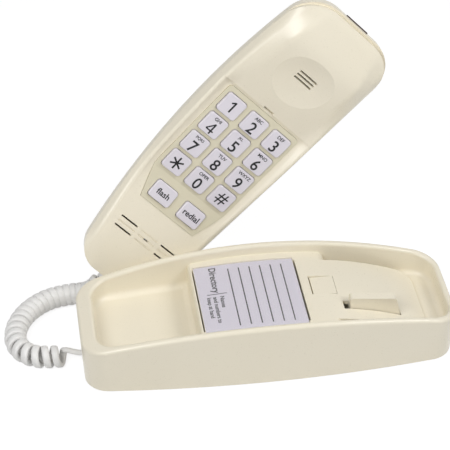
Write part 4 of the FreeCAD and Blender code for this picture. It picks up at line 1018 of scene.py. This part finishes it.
class PHONE_OT_set_stage(bpy.types.Operator):
    """Lay the floor, light the studio and set the camera"""

    bl_idname = "phone.set_stage"
    bl_label = "Set stage"

    def execute(self, context):
        scene = context.scene
        scene.view_settings.view_transform = "Standard"
        studio_world()
        self.lay_floor()
        for name, place, size, power in STUDIO_LAMPS:
            self.hang_lamp(name, Vector(place) * MM, size * MM, power)
        self.set_camera(scene)
        return {"FINISHED"}

    @staticmethod
    def lay_floor():
        form = bmesh.new()
        bmesh.ops.create_circle(form, cap_ends=True, segments=96, radius=FLOOR_RADIUS * MM)
        mesh = bpy.data.meshes.new("floor")
        form.to_mesh(mesh)
        form.free()
        floor = link_mesh("floor", mesh, floor_paper())

    @staticmethod
    def hang_lamp(name, place, size, power):
        light = bpy.data.lights.new(name, "AREA")
        light.shape = "DISK"
        light.size = size
        light.energy = power
        lamp = bpy.data.objects.new(name, light)
        bpy.context.scene.collection.objects.link(lamp)
        lamp.location = place
        aim = Vector(LAMP_AIM) * MM
        lamp.rotation_euler = (aim - place).to_track_quat("-Z", "Y").to_euler()

    @staticmethod
    def set_camera(scene):
        azimuth = math.radians(CAMERA_AZIMUTH)
        elevation = math.radians(CAMERA_ELEVATION)
        back = Vector((math.sin(azimuth) * math.cos(elevation), -math.cos(azimuth) * math.cos(elevation),
                       math.sin(elevation)))
        lens = bpy.data.cameras.new("photo_camera")
        lens.sensor_width = 36.0
        lens.lens = CAMERA_LENS
        lens.clip_start = 0.05
        lens.clip_end = 50.0
        camera = bpy.data.objects.new("photo_camera", lens)
        scene.collection.objects.link(camera)
        camera.location = Vector(CAMERA_AIM) * MM + back * CAMERA_DISTANCE * MM
        camera.rotation_euler = (-back).to_track_quat("-Z", "Y").to_euler()
        scene.camera = camera


class PHONE_PT_panel(bpy.types.Panel):
    """Lists the phone's pieces and the stage"""

    bl_idname = "PHONE_PT_panel"
    bl_label = "Corded phone"
    bl_space_type = "VIEW_3D"
    bl_region_type = "UI"
    bl_category = "Phone"

    def draw(self, context):
        scene = context.scene
        for group in (scene.phone_finish, scene.phone_print, scene.phone_cord):
            box = self.layout.box()
            for name in group.__annotations__:
                box.prop(group, name)
        for operator in OPERATORS:
            self.layout.operator(operator.bl_idname)


GROUPS = {"phone_finish": PhoneFinish, "phone_print": PhonePrint, "phone_cord": PhoneCord}
OPERATORS = (
    PHONE_OT_set_stage,
    PHONE_OT_lay_cord,
    PHONE_OT_finish_shells,
    PHONE_OT_print_keys,
    PHONE_OT_print_card,
    PHONE_OT_fit_screws,
    PHONE_OT_fit_contacts,
    PHONE_OT_fit_lens,
)


def register():
    for name, group in GROUPS.items():
        bpy.utils.register_class(group)
        setattr(bpy.types.Scene, name, PointerProperty(type=group))
    for operator in OPERATORS:
        bpy.utils.register_class(operator)
    bpy.utils.register_class(PHONE_PT_panel)


def unregister():
    bpy.utils.unregister_class(PHONE_PT_panel)
    for operator in reversed(OPERATORS):
        bpy.utils.unregister_class(operator)
    for name, group in GROUPS.items():
        delattr(bpy.types.Scene, name)
        bpy.utils.unregister_class(group)


def main():
    register()
    bpy.ops.phone.set_stage()
    bpy.ops.phone.lay_cord()
    bpy.ops.phone.finish_shells()
    bpy.ops.phone.print_keys()
    bpy.ops.phone.print_card()
    bpy.ops.phone.fit_screws()
    bpy.ops.phone.fit_contacts()
    bpy.ops.phone.fit_lens()


if __name__ == "__main__":
    main()
